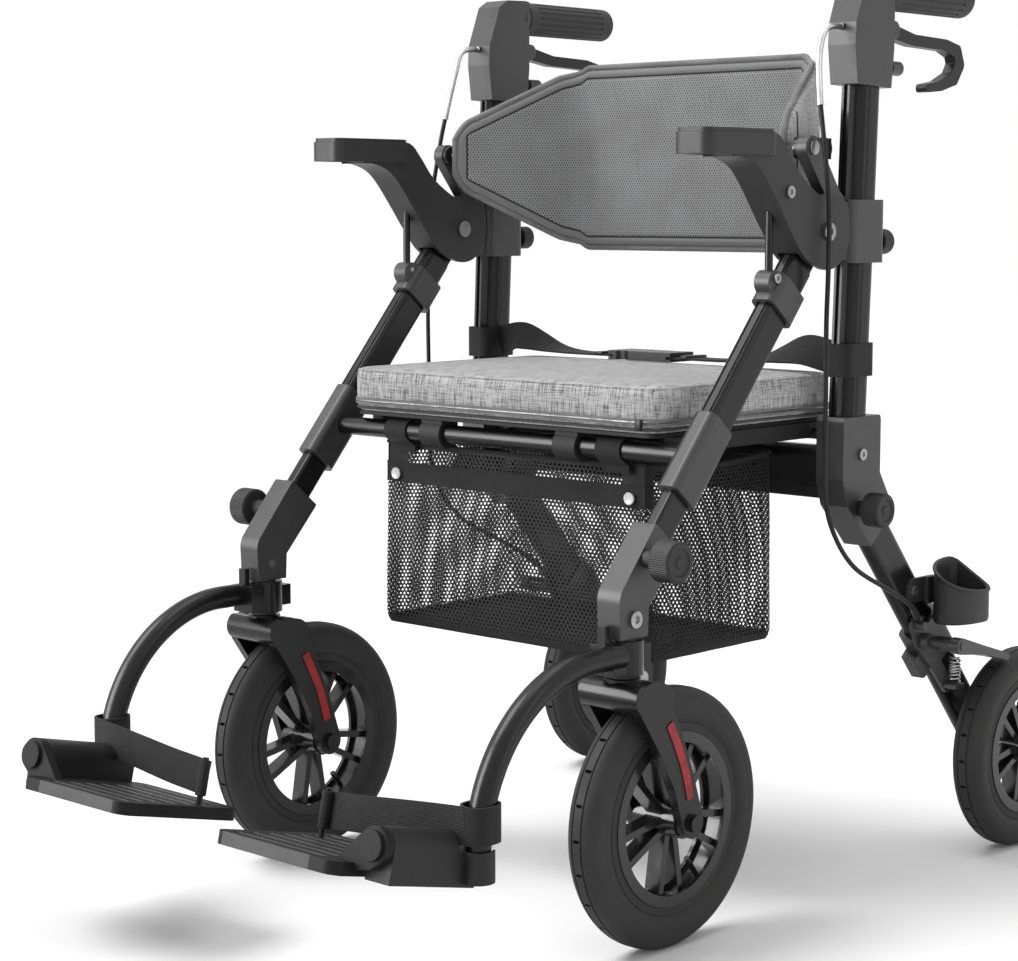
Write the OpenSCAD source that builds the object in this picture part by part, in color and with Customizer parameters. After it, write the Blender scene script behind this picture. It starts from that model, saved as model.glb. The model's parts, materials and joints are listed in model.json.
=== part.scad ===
// Rollator transport chair: folding walker frame with seat, basket, swing-away footrests and hand brakes.
// Millimetres, Z up. The chair faces -Y, +X is the occupant's left, the floor is z = 0.

/* [Frame] */
// Half distance between the two side frames
side_x = 254; // [250:1:258]
// Fold pivot behind the middle
pivot_y = 95; // [90:1:100]
// Fold pivot height
pivot_z = 683; // [680:1:686]
// Lean of the front struts from vertical
strut_lean = 40.6; // [40:0.1:41.2]
// Width of the strut tube
strut_w = 20; // [19:0.5:21]
// Depth of the strut tube
strut_d = 36; // [34:1:37]
// Lean of the uprights to the rear
upright_lean = 2.5; // [2.2:0.1:2.8]
// Width of the upright tube
upright_w = 28; // [27:0.5:29]
// Depth of the upright tube
upright_d = 36; // [35:0.5:37]
// Height of the upright's upper end
upright_top = 829; // [822:1:832]
// Width of the rear leg tube
leg_w = 18.5; // [17:0.5:20]
// Depth of the rear leg tube
leg_d = 45; // [43:1:46]
// Diameter of the seat's cross tube
cross_d = 20; // [18:0.5:21]

/* [Wheels] */
// Front wheel radius
front_r = 127; // [124:1:127]
// Radius of the front rim
front_rim_r = 85; // [80:1:88]
// Rear wheel radius
rear_r = 111; // [110:0.5:112]
// Radius of the rear rim
rear_rim_r = 73; // [68:1:76]
// Width of all tyres
tyre_w = 36; // [33:1:37]
// Distance from swivel axis to front axle
trail = 62; // [58:1:62]
// Swivel axis ahead of the middle
stem_y = -195; // [-197:1:-193]
// Rear axle behind the middle
axle_y = 425; // [424:0.5:426]
// Half distance between the rear wheels
rear_x = 302.5; // [302:0.5:303]

/* [Handles] */
// Length of the grips
grip_len = 151; // [130:1:160]
// Diameter of the grips
grip_d = 38; // [34:1:40]
// Height of the grip axis
grip_z = 927; // [924:1:930]

/* [Footrests] */
// Diameter of the footrest tubes
foot_tube_d = 24; // [22:1:25]
// Width of a footplate
plate_w = 158; // [150:1:160]
// Length of a footplate
plate_len = 148; // [140:1:150]
// Thickness of a footplate
plate_t = 12; // [10:1:13]

/* [Seat and basket] */
// Half width of the cushion
seat_hw = 217; // [212:1:218]
// Thickness of the cushion
cushion_t = 51; // [46:1:52]
// Half width of the basket
basket_hw = 188; // [175:1:190]
// Height of the basket
basket_h = 197; // [170:1:200]

/* [Backrest] */
// Half width of the backrest
back_hw = 230; // [226:1:231]
// Height of the backrest
back_h = 204; // [190:1:206]
// Thickness of the backrest
back_t = 20; // [17:1:21]

/* [Hidden] */
$fn = 64;
fit = 0.05;
gap = 0.4;
front_axle_y = stem_y + trail;
// Rear legs aim from the casting knee to the rear axle
knee_y = 167.2;
knee_z = 415;
leg_lean = atan((axle_y - knee_y) / (knee_z - rear_r));
upright_y0 = 163;
upright_z0 = 503;
rib_w = 10;
rib_d = 12;
post_w = upright_w - 6;
post_d = upright_d - 6;
inner_w = strut_w - 5;
inner_d = strut_d - 6;
cross_z = 470;
cross_y = pivot_y - (pivot_z - cross_z) * tan(strut_lean);
sleeve_w = strut_w + 6;
cast_w = 28;
arm_w = 36;
cheek_t = 5.2;
ear_t = 6;
lobe_r = 42;
board_z = 485;
cushion_z = 489;
back_y = 84;
back_z = 766;
eye_x = side_x - 15.4;
stem_d = 12;
socket_d = 26;
socket_z = 272;
block_z = 310;
fork_top = socket_z - gap;
fork_t = 10;
fork_in = 26;
bolt_d = 10;
shoe_y = 287;
shoe_z = 243;
leg_x = side_x + leg_w / 2;
cable_d = 5;
hinge_x = side_x - 11;
hinge_z = 146;
foot_x = side_x + 8;
foot_arc = 150;
foot_y = -398;
foot_top = 295;
plate_x = hinge_x - 19 - plate_w;
plate_z = 116;
foot_tilt = 13;
tilt_z = 130;

function strut_y(z) = pivot_y - (pivot_z - z) * tan(strut_lean);
function strut_s(z) = (pivot_z - z) / cos(strut_lean);
function upright_y(z) = upright_y0 + (z - upright_z0) * tan(upright_lean);
function leg_y(z) = axle_y - (z - rear_r) * tan(leg_lean);
function leg_s(z) = (z - rear_r) / cos(leg_lean);

// Both sides of the chair
module sides() {
  children();
  mirror([1, 0, 0]) children();
}

// A profile drawn in (Y, Z), swept along X
module xprism(x0, x1) {
  translate([x0, 0, 0]) rotate([90, 0, 90]) linear_extrude(height = x1 - x0) children();
}

// A run of tapers in (Y, Z), swept along X leg by leg
module xrun(x0, x1, pts) {
  for (i = [0 : len(pts) - 2])
    xprism(x0, x1) run2([pts[i], pts[i + 1]]);
}

module xcyl(x0, x1, y, z, d) {
  translate([x0, y, z]) rotate([0, 90, 0]) cylinder(d = d, h = x1 - x0);
}

module ycyl(y0, y1, x, z, d) {
  translate([x, y0, z]) rotate([-90, 0, 0]) cylinder(d = d, h = y1 - y0);
}

// Rounded rectangle with true arcs at its corners
module rrect(w, d, r) {
  square([w - 2 * r, d], center = true);
  square([w, d - 2 * r], center = true);
  for (sx = [-1, 1])
    for (sy = [-1, 1])
      translate([sx * (w / 2 - r), sy * (d / 2 - r)]) circle(r = r);
}

// Straight sides between two circles, a hair inside their tangents
module link2(p, rp, q, rq) {
  u = (q - p) / norm(q - p);
  n = [-u[1], u[0]];
  c = (rp - rq) / norm(q - p);
  s = sqrt(1 - c * c);
  g = 0.06;
  polygon([p + (rp - g) * (c * u + s * n), q + (rq - g) * (c * u + s * n),
           q + (rq - g) * (c * u - s * n), p + (rp - g) * (c * u - s * n)]);
}

// A run of tapers through points given as [y, z, radius]
module run2(pts) {
  for (p = pts)
    translate([p[0], p[1]]) circle(r = p[2]);
  for (i = [0 : len(pts) - 2])
    link2([pts[i][0], pts[i][1]], pts[i][2], [pts[i + 1][0], pts[i + 1][1]], pts[i + 1][2]);
}

module taper2(p, rp, q, rq) {
  run2([[p[0], p[1], rp], [q[0], q[1], rq]]);
}

// Smooth closed outline through hand-set corners
function spline(p, n) = let (m = len(p))
  [for (i = [0 : m - 1]) for (k = [0 : n - 1]) let (t = k / n,
    a = p[(i + m - 1) % m], b = p[i], c = p[(i + 1) % m], d = p[(i + 2) % m])
    0.5 * (2 * b + (c - a) * t + (2 * a - 5 * b + 4 * c - d) * t * t
    + (3 * b - a - 3 * c + d) * t * t * t)];

// Skin over rings of equal length, closed at both ends by a fan
module skin(rings) {
  m = len(rings);
  n = len(rings[0]);
  mid0 = [for (k = [0 : 2]) let (s = [for (p = rings[0]) p[k]]) (min(s) + max(s)) / 2];
  mid1 = [for (k = [0 : 2]) let (s = [for (p = rings[m - 1]) p[k]]) (min(s) + max(s)) / 2];
  pts = concat([for (r = rings) for (p = r) p], [mid0, mid1]);
  polyhedron(points = pts, faces = concat(
    [for (i = [0 : m - 2]) for (j = [0 : n - 1]) [i * n + j, (i + 1) * n + j, (i + 1) * n + (j + 1) % n]],
    [for (i = [0 : m - 2]) for (j = [0 : n - 1]) [i * n + j, (i + 1) * n + (j + 1) % n, i * n + (j + 1) % n]],
    [for (j = [0 : n - 1]) [m * n, j, (j + 1) % n]],
    [for (j = [0 : n - 1]) [m * n + 1, (m - 1) * n + (j + 1) % n, (m - 1) * n + j]]));
}

// Round cord swept through a list of points
function unit(v) = v / norm(v);
function tang(p, i) = unit(p[min(i + 1, len(p) - 1)] - p[max(i - 1, 0)]);
module cord(p, d, n) {
  skin([for (i = [0 : len(p) - 1])
    let (t = tang(p, i), a = unit(cross(t, abs(t[0]) < 0.9 ? [1, 0, 0] : [0, 0, 1])), b = cross(t, a))
    [for (k = [0 : n - 1]) p[i] + d / 2 * (cos(360 * k / n) * a + sin(360 * k / n) * b)]]);
}

// Open smooth path through hand-set points, n steps a leg
function path(p, n) = let (m = len(p))
  concat([for (i = [0 : m - 2]) for (k = [0 : n - 1]) let (t = k / n,
    a = p[max(i - 1, 0)], b = p[i], c = p[i + 1], d = p[min(i + 2, m - 1)])
    0.5 * (2 * b + (c - a) * t + (2 * a - 5 * b + 4 * c - d) * t * t
    + (3 * b - a - 3 * c + d) * t * t * t)], [p[m - 1]]);

module on_strut(z) {
  translate([side_x, strut_y(z), z]) rotate([-strut_lean, 0, 0]) children();
}

module on_upright(z) {
  translate([side_x, upright_y(z), z]) rotate([-upright_lean, 0, 0]) children();
}

module on_leg(z) {
  translate([side_x, leg_y(z), z]) rotate([leg_lean, 0, 0]) children();
}

// Section of the upright with its front track
module upright_section(g) {
  rrect(upright_w + 2 * g, upright_d + 2 * g, upright_w / 2 - 1);
  translate([-rib_w / 2 - g, -upright_d / 2 - rib_d - g]) square([rib_w + 2 * g, rib_d + 10]);
}

// Rear frame

module uprights() {
  color("#2b2b2d") sides() on_upright(428)
    linear_extrude(height = (upright_top - 428) / cos(upright_lean)) difference() {
      upright_section(0);
      rrect(post_w + 0.6, post_d + 0.6, post_w / 2 - 1);
      translate([0, -upright_d / 2 - rib_d]) square([4, 6], center = true);
    }
}

// Side outline of the rear casting, from the upright's socket to the leg's socket
module rear_cast_side() {
  polygon([[129, 490], [131, 494], [193, 494], [195, 490], [195, 434], [222, 392], [181, 357], [138, 402],
           [129, 430]]);
}

module rear_castings() {
  color("#333336") sides() difference() {
    xprism(side_x - 17, side_x + 17) rear_cast_side();
    on_upright(428) translate([0, 0, -0.1]) linear_extrude(height = 80) upright_section(fit);
    on_leg(404) translate([0, 0, -80]) linear_extrude(height = 80.1)
      rrect(leg_w + 0.1, leg_d + 0.1, leg_w / 2 - 0.1);
    xcyl(side_x - 20, side_x + 20, upright_y(455), 455, 6.1);
    xcyl(side_x + 5, side_x + 18, 160, 399, 8.1);
    xcyl(side_x - 18, side_x - 12, 160, 472, 10.1);
  }
}

module rear_legs() {
  color("#2b2b2d") sides() difference() {
    union() {
      on_leg(rear_r) linear_extrude(height = leg_s(404)) rrect(leg_w, leg_d, leg_w / 2 - 0.2);
      xcyl(side_x - leg_w / 2 + 0.25, side_x + leg_w / 2 - 0.25, axle_y, rear_r, leg_d + 1.2);
    }
    xcyl(side_x - 20, side_x + 20, axle_y, rear_r, 12.1);
  }
}

module rear_beam() {
  color("#2b2b2d") translate([17 - side_x, 150, 407]) cube([2 * side_x - 34, 11, 55]);
}

// Sleeve on the upright with two ears round the fold pivot and the backrest post
module arm_brackets() {
  color("#333336") sides() difference() {
    union() {
      difference() {
        translate([side_x, 166.5, 651]) linear_extrude(height = 64) rrect(arm_w, 61, 9);
        xcyl(side_x - 30, side_x + 30, pivot_y, pivot_z, 2 * lobe_r + 2);
      }
      for (s = [-1, 1])
        translate([s * (ear_t / 2 + 6.4), 0, 0]) xprism(side_x - ear_t / 2, side_x + ear_t / 2) {
          taper2([pivot_y, pivot_z], 24, [142, 683], 30);
        }
      xprism(side_x - 6.5, side_x + 6.5) intersection() {
        run2([[138, 690, 22], [122, 716, 11], [back_y, back_z, 12]]);
        difference() {
          square([300, 900]);
          translate([pivot_y, pivot_z]) circle(r = 25);
        }
      }
    }
    on_upright(640) linear_extrude(height = 90) upright_section(fit);
    xcyl(side_x - 30, side_x + 30, pivot_y, pivot_z, bolt_d + 0.1);
    xcyl(side_x - 30, side_x + 30, back_y, back_z, 8.1);
    ycyl(180, 200, side_x, 672, 8.1);
  }
}

// Clamp on the rear leg with the shoe's pin, the cable's anchor and the spring's shelf
module brake_mounts() {
  color("#333336") sides() difference() {
    union() {
      on_leg(222) linear_extrude(height = leg_s(262) - leg_s(222)) rrect(leg_w + 9, leg_d + 9, leg_w / 2);
      on_leg(222) translate([0, -leg_d / 2 - 9, 4]) linear_extrude(height = 30) rrect(leg_w, 16, 3);
      xprism(leg_x + fit, leg_x + 4.5) {
        run2([[shoe_y, shoe_z, 12], [316, 212, 9], [338, 187, 8]]);
        run2([[shoe_y, shoe_z, 12], [274, 262, 8]]);
      }
      xcyl(leg_x + 1, side_x + 64, shoe_y, shoe_z, 8);
      xcyl(leg_x + 1, side_x + 25, 274, 262, 10);
      translate([leg_x + 1, 329, 185]) cube([19, 18, 5]);
    }
    on_leg(190) linear_extrude(height = 140) rrect(leg_w + 0.1, leg_d + 0.1, leg_w / 2 - 0.1);
  }
}

// Cable through the air from handle to brake
cable_pts = [[side_x, 137, 888], [side_x, 112, 884], [side_x, 101, 860], [side_x + 6, 94, 820],
  [side_x + 14, 90, 780], [side_x + 25, 86, 712], [side_x + 27, 84, 650], [side_x + 27, 82, 590],
  [side_x + 27, 83, 520], [side_x + 27, 84, 430], [side_x + 27, 97, 385], [side_x + 27, 136, 342],
  [side_x + 28, 200, 310], [side_x + 27, 240, 290], [side_x + 19, 270.4, 267]];

module brake_cables() {
  color("#18181a") sides() cord(path(cable_pts, 4), cable_d, 8);
}

// One unbroken coil; the free gap between its turns is pitch less wire
spring_r = 6;
spring_wire = 2;
spring_turns = 7;
spring_z0 = 191.2;
spring_h = 29.5;
spring_pitch = spring_h / spring_turns;
echo(spring_gap = spring_pitch - spring_wire);

module brake_springs() {
  color("#b8b8b8") sides() cord([for (i = [0 : 8 * spring_turns])
    [side_x + 21.5 + spring_r * cos(45 * i), 338 + spring_r * sin(45 * i), spring_z0 + spring_pitch * i / 8]],
    spring_wire, 6);
}

// Open cup beside the left leg, its rim sloping to the outside
module cane_cup() {
  color("#2b2b2d") difference() {
    union() {
      translate([0, 0, 262]) linear_extrude(height = 70) cup_plan(0);
      xprism(leg_x + fit, leg_x + 4) {
        run2([[268, 300, 12], [300, 300, 14]]);
      }
      translate([leg_x + fit, 286, 286]) cube([8, 30, 28]);
    }
    translate([0, 0, 266]) linear_extrude(height = 80) cup_plan(3);
    translate([side_x + 8, 270, 332]) rotate([0, 35, 0]) cube([120, 100, 60]);
    xcyl(leg_x - 1, leg_x + 8, 268, 300, 6.1);
  }
}

module cup_plan(g) {
  translate([side_x + 14.2 + g, 286 + g]) square([23.8 - g, 64 - 2 * g]);
  translate([side_x + 36, 318]) intersection() {
    circle(r = 32 - g);
    translate([0, -40]) square([29.5 - g, 80]);
  }
}

// Ribbon: [x, y, z, roll] stations, width across the roll direction
module ribbon(st, w, t) {
  skin([for (i = [0 : len(st) - 1]) let (p = [for (s = st) [s[0], s[1], s[2]]],
    d = tang(p, i), e = unit(cross([0, 0, 1], d)), f = cross(d, e),
    a = cos(st[i][3]) * e + sin(st[i][3]) * f, b = cross(d, a))
    [p[i] - a * w / 2 - b * t / 2, p[i] + a * w / 2 - b * t / 2,
     p[i] + a * w / 2 + b * t / 2, p[i] - a * w / 2 + b * t / 2]]);
}

belt_w = 34;
belt_z = 552;

module lap_belt() {
  color("#1c1c1e") sides() {
    on_upright(belt_z - belt_w / 2) linear_extrude(height = belt_w) difference() {
      translate([0, -rib_d / 2]) rrect(upright_w + 5, upright_d + rib_d + 5, 10);
      translate([0, -rib_d / 2]) rrect(upright_w + 0.3, upright_d + rib_d + 0.3, 7);
    }
    ribbon([[side_x - 15.6, 158, belt_z, 90], [side_x - 20, 157.8, belt_z, 90],
      [side_x - 30, 157, belt_z + 4, 82], [side_x - 52, 154, 560, 60], [side_x - 80, 150, 555, 30],
      [side_x - 112, 148, 548, 8], [side_x - 150, 147, 545, 0], [39, 147, 545, 0]], belt_w, 2);
  }
}

module belt_buckle() {
  color("#161618") difference() {
    translate([-44, 127, 541]) cube([88, 40, 10]);
    for (s = [-1, 1])
      translate([s * 44 - 6, 120, 543.8]) cube([12, 60, 2.4]);
    for (s = [-1, 1])
      translate([s * 24, s * 30 + 147, 535]) cylinder(r = 13, h = 30);
    translate([-1, 140, 549]) cube([2, 14, 10]);
  }
}

basket_y0 = -81;
basket_len = 207;
basket_z = 258;
basket_t = 2;

module basket() {
  top = basket_z + basket_h;
  color("#1a1a1c") {
    difference() {
      union() {
        translate([0, basket_y0 + basket_len / 2, basket_z]) linear_extrude(height = basket_h)
          rrect(2 * basket_hw, basket_len, 14);
        translate([0, basket_y0 + basket_len / 2, top - 42]) linear_extrude(height = 22)
          rrect(2 * basket_hw + 1.6, basket_len + 1.6, 14.8);
        for (s = [-1, 1]) {
          ycyl(basket_y0 - 2.4, basket_y0 + 2, s * 165, top - 31, 13);
          xcyl(s * 150 - 16, s * 150 + 16, cross_y, cross_z, cross_d + 5);
          translate([s * 150 - 16, 120, top - 7]) cube([32, 30, 2]);
          translate([s * 150 - 16, basket_y0, top - 20]) cube([32, 2, 30]);
        }
      }
      translate([0, basket_y0 + basket_len / 2, basket_z + basket_t]) linear_extrude(height = basket_h)
        rrect(2 * basket_hw - 2 * basket_t, basket_len - 2 * basket_t, 14 - basket_t);
      xcyl(-side_x, side_x, cross_y, cross_z, cross_d + 0.6);
    }
  }
}

// Screws, axles and pins of the rear frame
module rear_bolts() {
  color("#9a9a9c") sides() {
    difference() {
      union() {
        xcyl(side_x - 13, rear_x + tyre_w / 2 - 2.2, axle_y, rear_r, 12);
        xcyl(leg_x + fit, leg_x + 13, axle_y, rear_r, 22);
        xcyl(side_x - leg_w / 2 - 5, side_x - leg_w / 2 - fit, axle_y, rear_r, 20);
        xcyl(rear_x + tyre_w / 2 - 2.2, rear_x + tyre_w / 2, axle_y, rear_r, 19);
      }
      xcyl(rear_x + tyre_w / 2 - 1, rear_x + tyre_w / 2 + 1, axle_y, rear_r, 8);
    }
    xcyl(side_x - 58, side_x - upright_w / 2 - 0.2, 160, 472, 10);
    bolt_head(side_x + 17, upright_y(455), 455, 6, 2.8);
    xcyl(eye_x - 1, side_x + 7, back_y, back_z, 8);
    xcyl(side_x + 6.5 + fit, side_x + 9, back_y, back_z, 14);
  }
  color("#9a9a9c") {
    xcyl(leg_x + fit, leg_x + 5, 268, 300, 6);
    xcyl(leg_x + 4, leg_x + 6.5, 268, 300, 11);
  }
}

// Button head on an outer face, with its hex socket
module bolt_head(x, y, z, d, deep) {
  difference() {
    union() {
      xcyl(x + fit, x + 3, y, z, 2 * d);
      xcyl(x - deep, x + 1, y, z, d);
    }
    translate([x + 1.4, y, z]) rotate([0, 90, 0]) cylinder(d = d, h = 4, $fn = 6);
  }
}

// Front frame

// Strut tube with a tongue at the fold pivot and two grooves down its front
module front_struts() {
  top = 44;
  low = strut_s(435);
  color("#2b2b2d") sides() difference() {
    union() {
      on_strut(pivot_z) translate([0, 0, -low]) linear_extrude(height = low - top) difference() {
        rrect(strut_w, strut_d, 6);
        for (s = [-1, 1])
          translate([s * 4.5, -strut_d / 2]) square([2, 2.4], center = true);
      }
      xprism(side_x - 6, side_x + 6)
        taper2([pivot_y, pivot_z], 17, [pivot_y, pivot_z] - 52 * [sin(strut_lean), cos(strut_lean)], 17);
    }
    on_strut(pivot_z) translate([0, 0, -low - 1]) linear_extrude(height = low - 69)
      rrect(inner_w + 0.4, inner_d + 0.4, 4);
    xcyl(side_x - 30, side_x + 30, pivot_y, pivot_z, bolt_d + 0.1);
  }
}

module front_inner_legs() {
  color("#1f1f21") sides() on_strut(pivot_z) translate([0, 0, -strut_s(382)])
    linear_extrude(height = strut_s(382) - 180) rrect(inner_w, inner_d, 3.8);
}

// Height clamp on each strut's lower end and the collar that holds the arm link
module strut_clamps() {
  color("#333336") sides() {
    on_strut(pivot_z) translate([0, 0, -strut_s(433)]) difference() {
      linear_extrude(height = strut_s(433) - strut_s(500)) rrect(sleeve_w, strut_d + 6, 8);
      translate([0, 0, 2.5]) linear_extrude(height = 200) rrect(strut_w + 0.1, strut_d + 0.1, 5);
      translate([0, 0, -1]) linear_extrude(height = 20) rrect(inner_w + 0.4, inner_d + 0.4, 4);
    }
    difference() {
      union() {
        on_strut(616) translate([0, 0, -17]) linear_extrude(height = 34) rrect(cast_w, strut_d + 10, 8);
        xprism(side_x - 9, side_x + 9) run2([[38, 620, 18], [22, 634, 12]]);
      }
      on_strut(616) translate([0, 0, -60]) linear_extrude(height = 120)
        rrect(strut_w + 0.1, strut_d + 0.1, 5);
      translate([side_x, 22, 632]) cylinder(d = 8.1, h = 60);
      xcyl(side_x - 20, side_x + 20, 22, 638, 5.1);
      xcyl(side_x + 9, side_x + 20, 22, 638, 10.6);
    }
  }
}

// Elbow casting: pocket for the inner leg above, swivel socket below
module front_castings() {
  color("#333336") sides() difference() {
    union() {
      xprism(side_x - cast_w / 2, side_x + cast_w / 2) difference() {
        run2([[strut_y(396), 396, 22.5], [stem_y, 345, 21], [stem_y, 300, 19]]);
        translate([-400, 0]) square([400, block_z]);
        translate([strut_y(400), 400]) rotate(-strut_lean) translate([-50, 0]) square([100, 60]);
      }
      translate([side_x, stem_y, socket_z]) cylinder(d = socket_d, h = block_z - socket_z + 1);
    }
    translate([side_x, stem_y, socket_z - 1]) cylinder(d = stem_d + 0.1, h = 42);
    on_strut(382) translate([0, 0, -0.2]) linear_extrude(height = 60)
      rrect(inner_w + 0.1, inner_d + 0.1, 3.8);
    xcyl(side_x - 20, side_x + 20, stem_y, 328, 8.1);
    xcyl(side_x + 7.6, side_x + 20, -178, 383, 8.1);
  }
}

module cross_tube() {
  color("#2b2b2d") difference() {
    xcyl(sleeve_w / 2 - side_x, side_x - sleeve_w / 2, cross_y, cross_z, cross_d);
    xcyl(sleeve_w / 2 - side_x - 1, side_x - sleeve_w / 2 + 1, cross_y, cross_z, cross_d - 4);
  }
}

arm_neck = [[-70, 757], [-46, 755], [-24, 748], [-8, 735], [12, 711], [34, 683], [58, 657], [88, 648],
  [118, 662], [132, 690], [124, 714], [90, 716], [64, 728], [44, 743], [27, 763], [10, 778], [-22, 781],
  [-70, 780]];

// Curved arm with two cheeks round the fold pivot and a flat pad
module armrests() {
  color("#2a2a2c") sides() difference() {
    union() {
      xprism(side_x - arm_w / 2, side_x + arm_w / 2) {
        intersection() {
          polygon(spline(arm_neck, 4));
          union() {
            translate([-200, 600]) square([pivot_y + 200, 300]);
            translate([pivot_y, pivot_z]) circle(r = lobe_r);
          }
        }
        translate([pivot_y, pivot_z]) circle(r = lobe_r - 4);
      }
      translate([side_x, -47, 757]) linear_extrude(height = 21) rrect(46, 112, 12);
      translate([side_x, -47, 775]) linear_extrude(height = 7) rrect(42, 108, 10);
    }
    translate([side_x - arm_w / 2 + cheek_t, 52, 600]) cube([arm_w - 2 * cheek_t, 200, 300]);
    translate([side_x, -74, 755]) linear_extrude(height = 6) rrect(36, 44, 8);
    xcyl(side_x - 30, side_x + 30, pivot_y, pivot_z, bolt_d + 0.1);
    xcyl(side_x + 6, side_x + 30, 30, 722, 6.1);
    translate([side_x, 22, 600]) cylinder(d = 8.1, h = 112);
  }
}

module arm_links() {
  color("#232325") sides() difference() {
    translate([side_x, 22, 633]) cylinder(d = 8, h = 78);
    xcyl(side_x - 20, side_x + 20, 22, 638, 5.1);
  }
}

module front_bolts() {
  color("#9a9a9c") sides() {
    xcyl(side_x - arm_w / 2 - 3, side_x + arm_w / 2 + 1, pivot_y, pivot_z, bolt_d);
    xcyl(side_x - arm_w / 2 - 3, side_x - arm_w / 2 - fit, pivot_y, pivot_z, 18);
    difference() {
      xcyl(side_x + arm_w / 2 + fit, side_x + arm_w / 2 + 3.5, pivot_y, pivot_z, 18);
      translate([side_x + arm_w / 2 + 1.5, pivot_y, pivot_z]) rotate([0, 90, 0])
        cylinder(d = 9, h = 5, $fn = 6);
    }
    bolt_head(side_x + arm_w / 2, 30, 722, 6, 11);
    bolt_head(side_x + 9, 22, 638, 5, 18);
    bolt_head(side_x + cast_w / 2, stem_y, 328, 8, cast_w);
  }
}

// Lobed hand knob on a neck, standing on a face at x = 0 and turning about X
module knob(d, neck, thick, shank) {
  difference() {
    union() {
      xcyl(neck, neck + thick, 0, 0, d);
      xcyl(gap, neck + 1, 0, 0, d * 0.55);
      xcyl(neck + thick - 1, neck + thick + 2, 0, 0, d * 0.5);
      xcyl(-shank, gap + 1, 0, 0, 8);
    }
    for (a = [0 : 24 : 336])
      rotate([a, 0, 0]) translate([neck - 1, d * 0.54, 0]) rotate([0, 90, 0])
        cylinder(d = d * 0.12, h = thick + 2);
  }
}

module front_knob_left() {
  color("#242426") translate([side_x + cast_w / 2, -178, 383]) knob(44, 18, 22, 6);
}

module front_knob_right() {
  mirror([1, 0, 0]) front_knob_left();
}

module rear_knob_left() {
  color("#242426") translate([side_x + 17, 160, 399]) knob(38, 12, 20, 11.5);
}

module rear_knob_right() {
  mirror([1, 0, 0]) rear_knob_left();
}

module height_knob_left() {
  color("#242426") translate([side_x, 197, 672]) rotate([0, 0, 90]) knob(27, 8, 16, 7);
}

module height_knob_right() {
  mirror([1, 0, 0]) height_knob_left();
}

// Casters and wheels

// Bridge fork: stem, crown over the tyre and two swept arms with the axle bolt
module fork_left() {
  color("#2d2d30") translate([side_x, 0, 0]) difference() {
    union() {
      translate([0, stem_y, fork_top - 6]) cylinder(d = stem_d, h = block_z - fork_top + 4);
      translate([0, stem_y, fork_top - 14]) cylinder(d = 34, h = 14);
      xprism(-fork_in - fork_t, fork_in + fork_t) difference() {
        run2([[stem_y - 8, fork_top - 15, 15], [stem_y + 14, fork_top - 21, 18]]);
        translate([-400, fork_top - 2]) square([400, 60]);
      }
      for (s = [-1, 1])
        translate([s * (fork_in + fork_t / 2), 0, 0]) xprism(-fork_t / 2, fork_t / 2)
          run2([[stem_y + 2, fork_top - 20, 20], [stem_y + 26, fork_top - 58, 18],
            [front_axle_y - 14, front_r + 42, 15], [front_axle_y, front_r, 15]]);
      xcyl(-fork_in - fork_t - 4, fork_in + fork_t + 4, front_axle_y, front_r, bolt_d);
      xcyl(-fork_in - fork_t - 5, 1 - fork_in - fork_t, front_axle_y, front_r, 17);
      xcyl(fork_in + fork_t - 1, fork_in + fork_t + 5, front_axle_y, front_r, 17);
    }
    difference() {
      xcyl(-fork_in, fork_in, front_axle_y, front_r, 2 * front_r + 9);
      xcyl(-fork_in - 1, fork_in + 1, front_axle_y, front_r, bolt_d);
    }
  }
}

module fork_right() {
  mirror([1, 0, 0]) fork_left();
}

// Tyre about the X axis, with two grooves round its tread and a row of side nicks
module tyre(r, rim) {
  color("#1d1d1f") rotate([0, 90, 0]) difference() {
    rotate_extrude($fn = 96) difference() {
      union() {
        translate([rim + fit, -tyre_w / 2 + 4]) square([8, tyre_w - 8]);
        translate([(rim + 4 + r) / 2, 0]) rrect(r - rim - 4, tyre_w, tyre_w / 2 - 3);
      }
      for (s = [-1, 1])
        translate([r - 1.2, s * 5.5 - 1]) square([3, 2]);
    }
    for (a = [0 : 15 : 345])
      rotate([0, 0, a]) translate([r - 1.5, 0, 0]) cube([6, 3, 7], center = true);
  }
}

// Rim about the X axis: barrel with lips, five forked spokes, hub and valve
module rim(r, hub0, hub1, bore) {
  color("#141416") rotate([0, 90, 0]) difference() {
    union() {
      rotate_extrude($fn = 96) {
        translate([r - 6, -tyre_w / 2 + 3]) square([6, tyre_w - 6]);
        translate([r - 11, -tyre_w / 2 + 3]) square([7, 4]);
        translate([r - 11, tyre_w / 2 - 7]) square([7, 4]);
      }
      translate([0, 0, hub0]) cylinder(d = 34, h = hub1 - hub0);
      for (a = [0 : 72 : 288])
        for (s = [-1, 1])
          rotate([0, 0, a]) translate([12, s * 5, -9]) rotate([0, 0, s * 9]) translate([0, -3.5, 0])
            cube([r - 17, 7, 18]);
      rotate([0, 0, 36]) translate([r - 26, 0, 0]) rotate([0, 90, 0]) cylinder(d = 6, h = 22);
    }
    translate([0, 0, hub0 - 1]) cylinder(d = bore + 0.1, h = hub1 - hub0 + 2);
    for (z = [hub0 - 1, hub1 - 2.5])
      translate([0, 0, z]) difference() {
        cylinder(d = 28, h = 3.5);
        cylinder(d = 19, h = 3.5);
      }
  }
}

module front_tyre_left() {
  translate([side_x, front_axle_y, front_r]) tyre(front_r, front_rim_r);
}

module front_tyre_right() {
  mirror([1, 0, 0]) front_tyre_left();
}

module front_rim_left() {
  translate([side_x, front_axle_y, front_r]) rim(front_rim_r, gap - fork_in, fork_in - gap, bolt_d);
}

module front_rim_right() {
  mirror([1, 0, 0]) front_rim_left();
}

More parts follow.
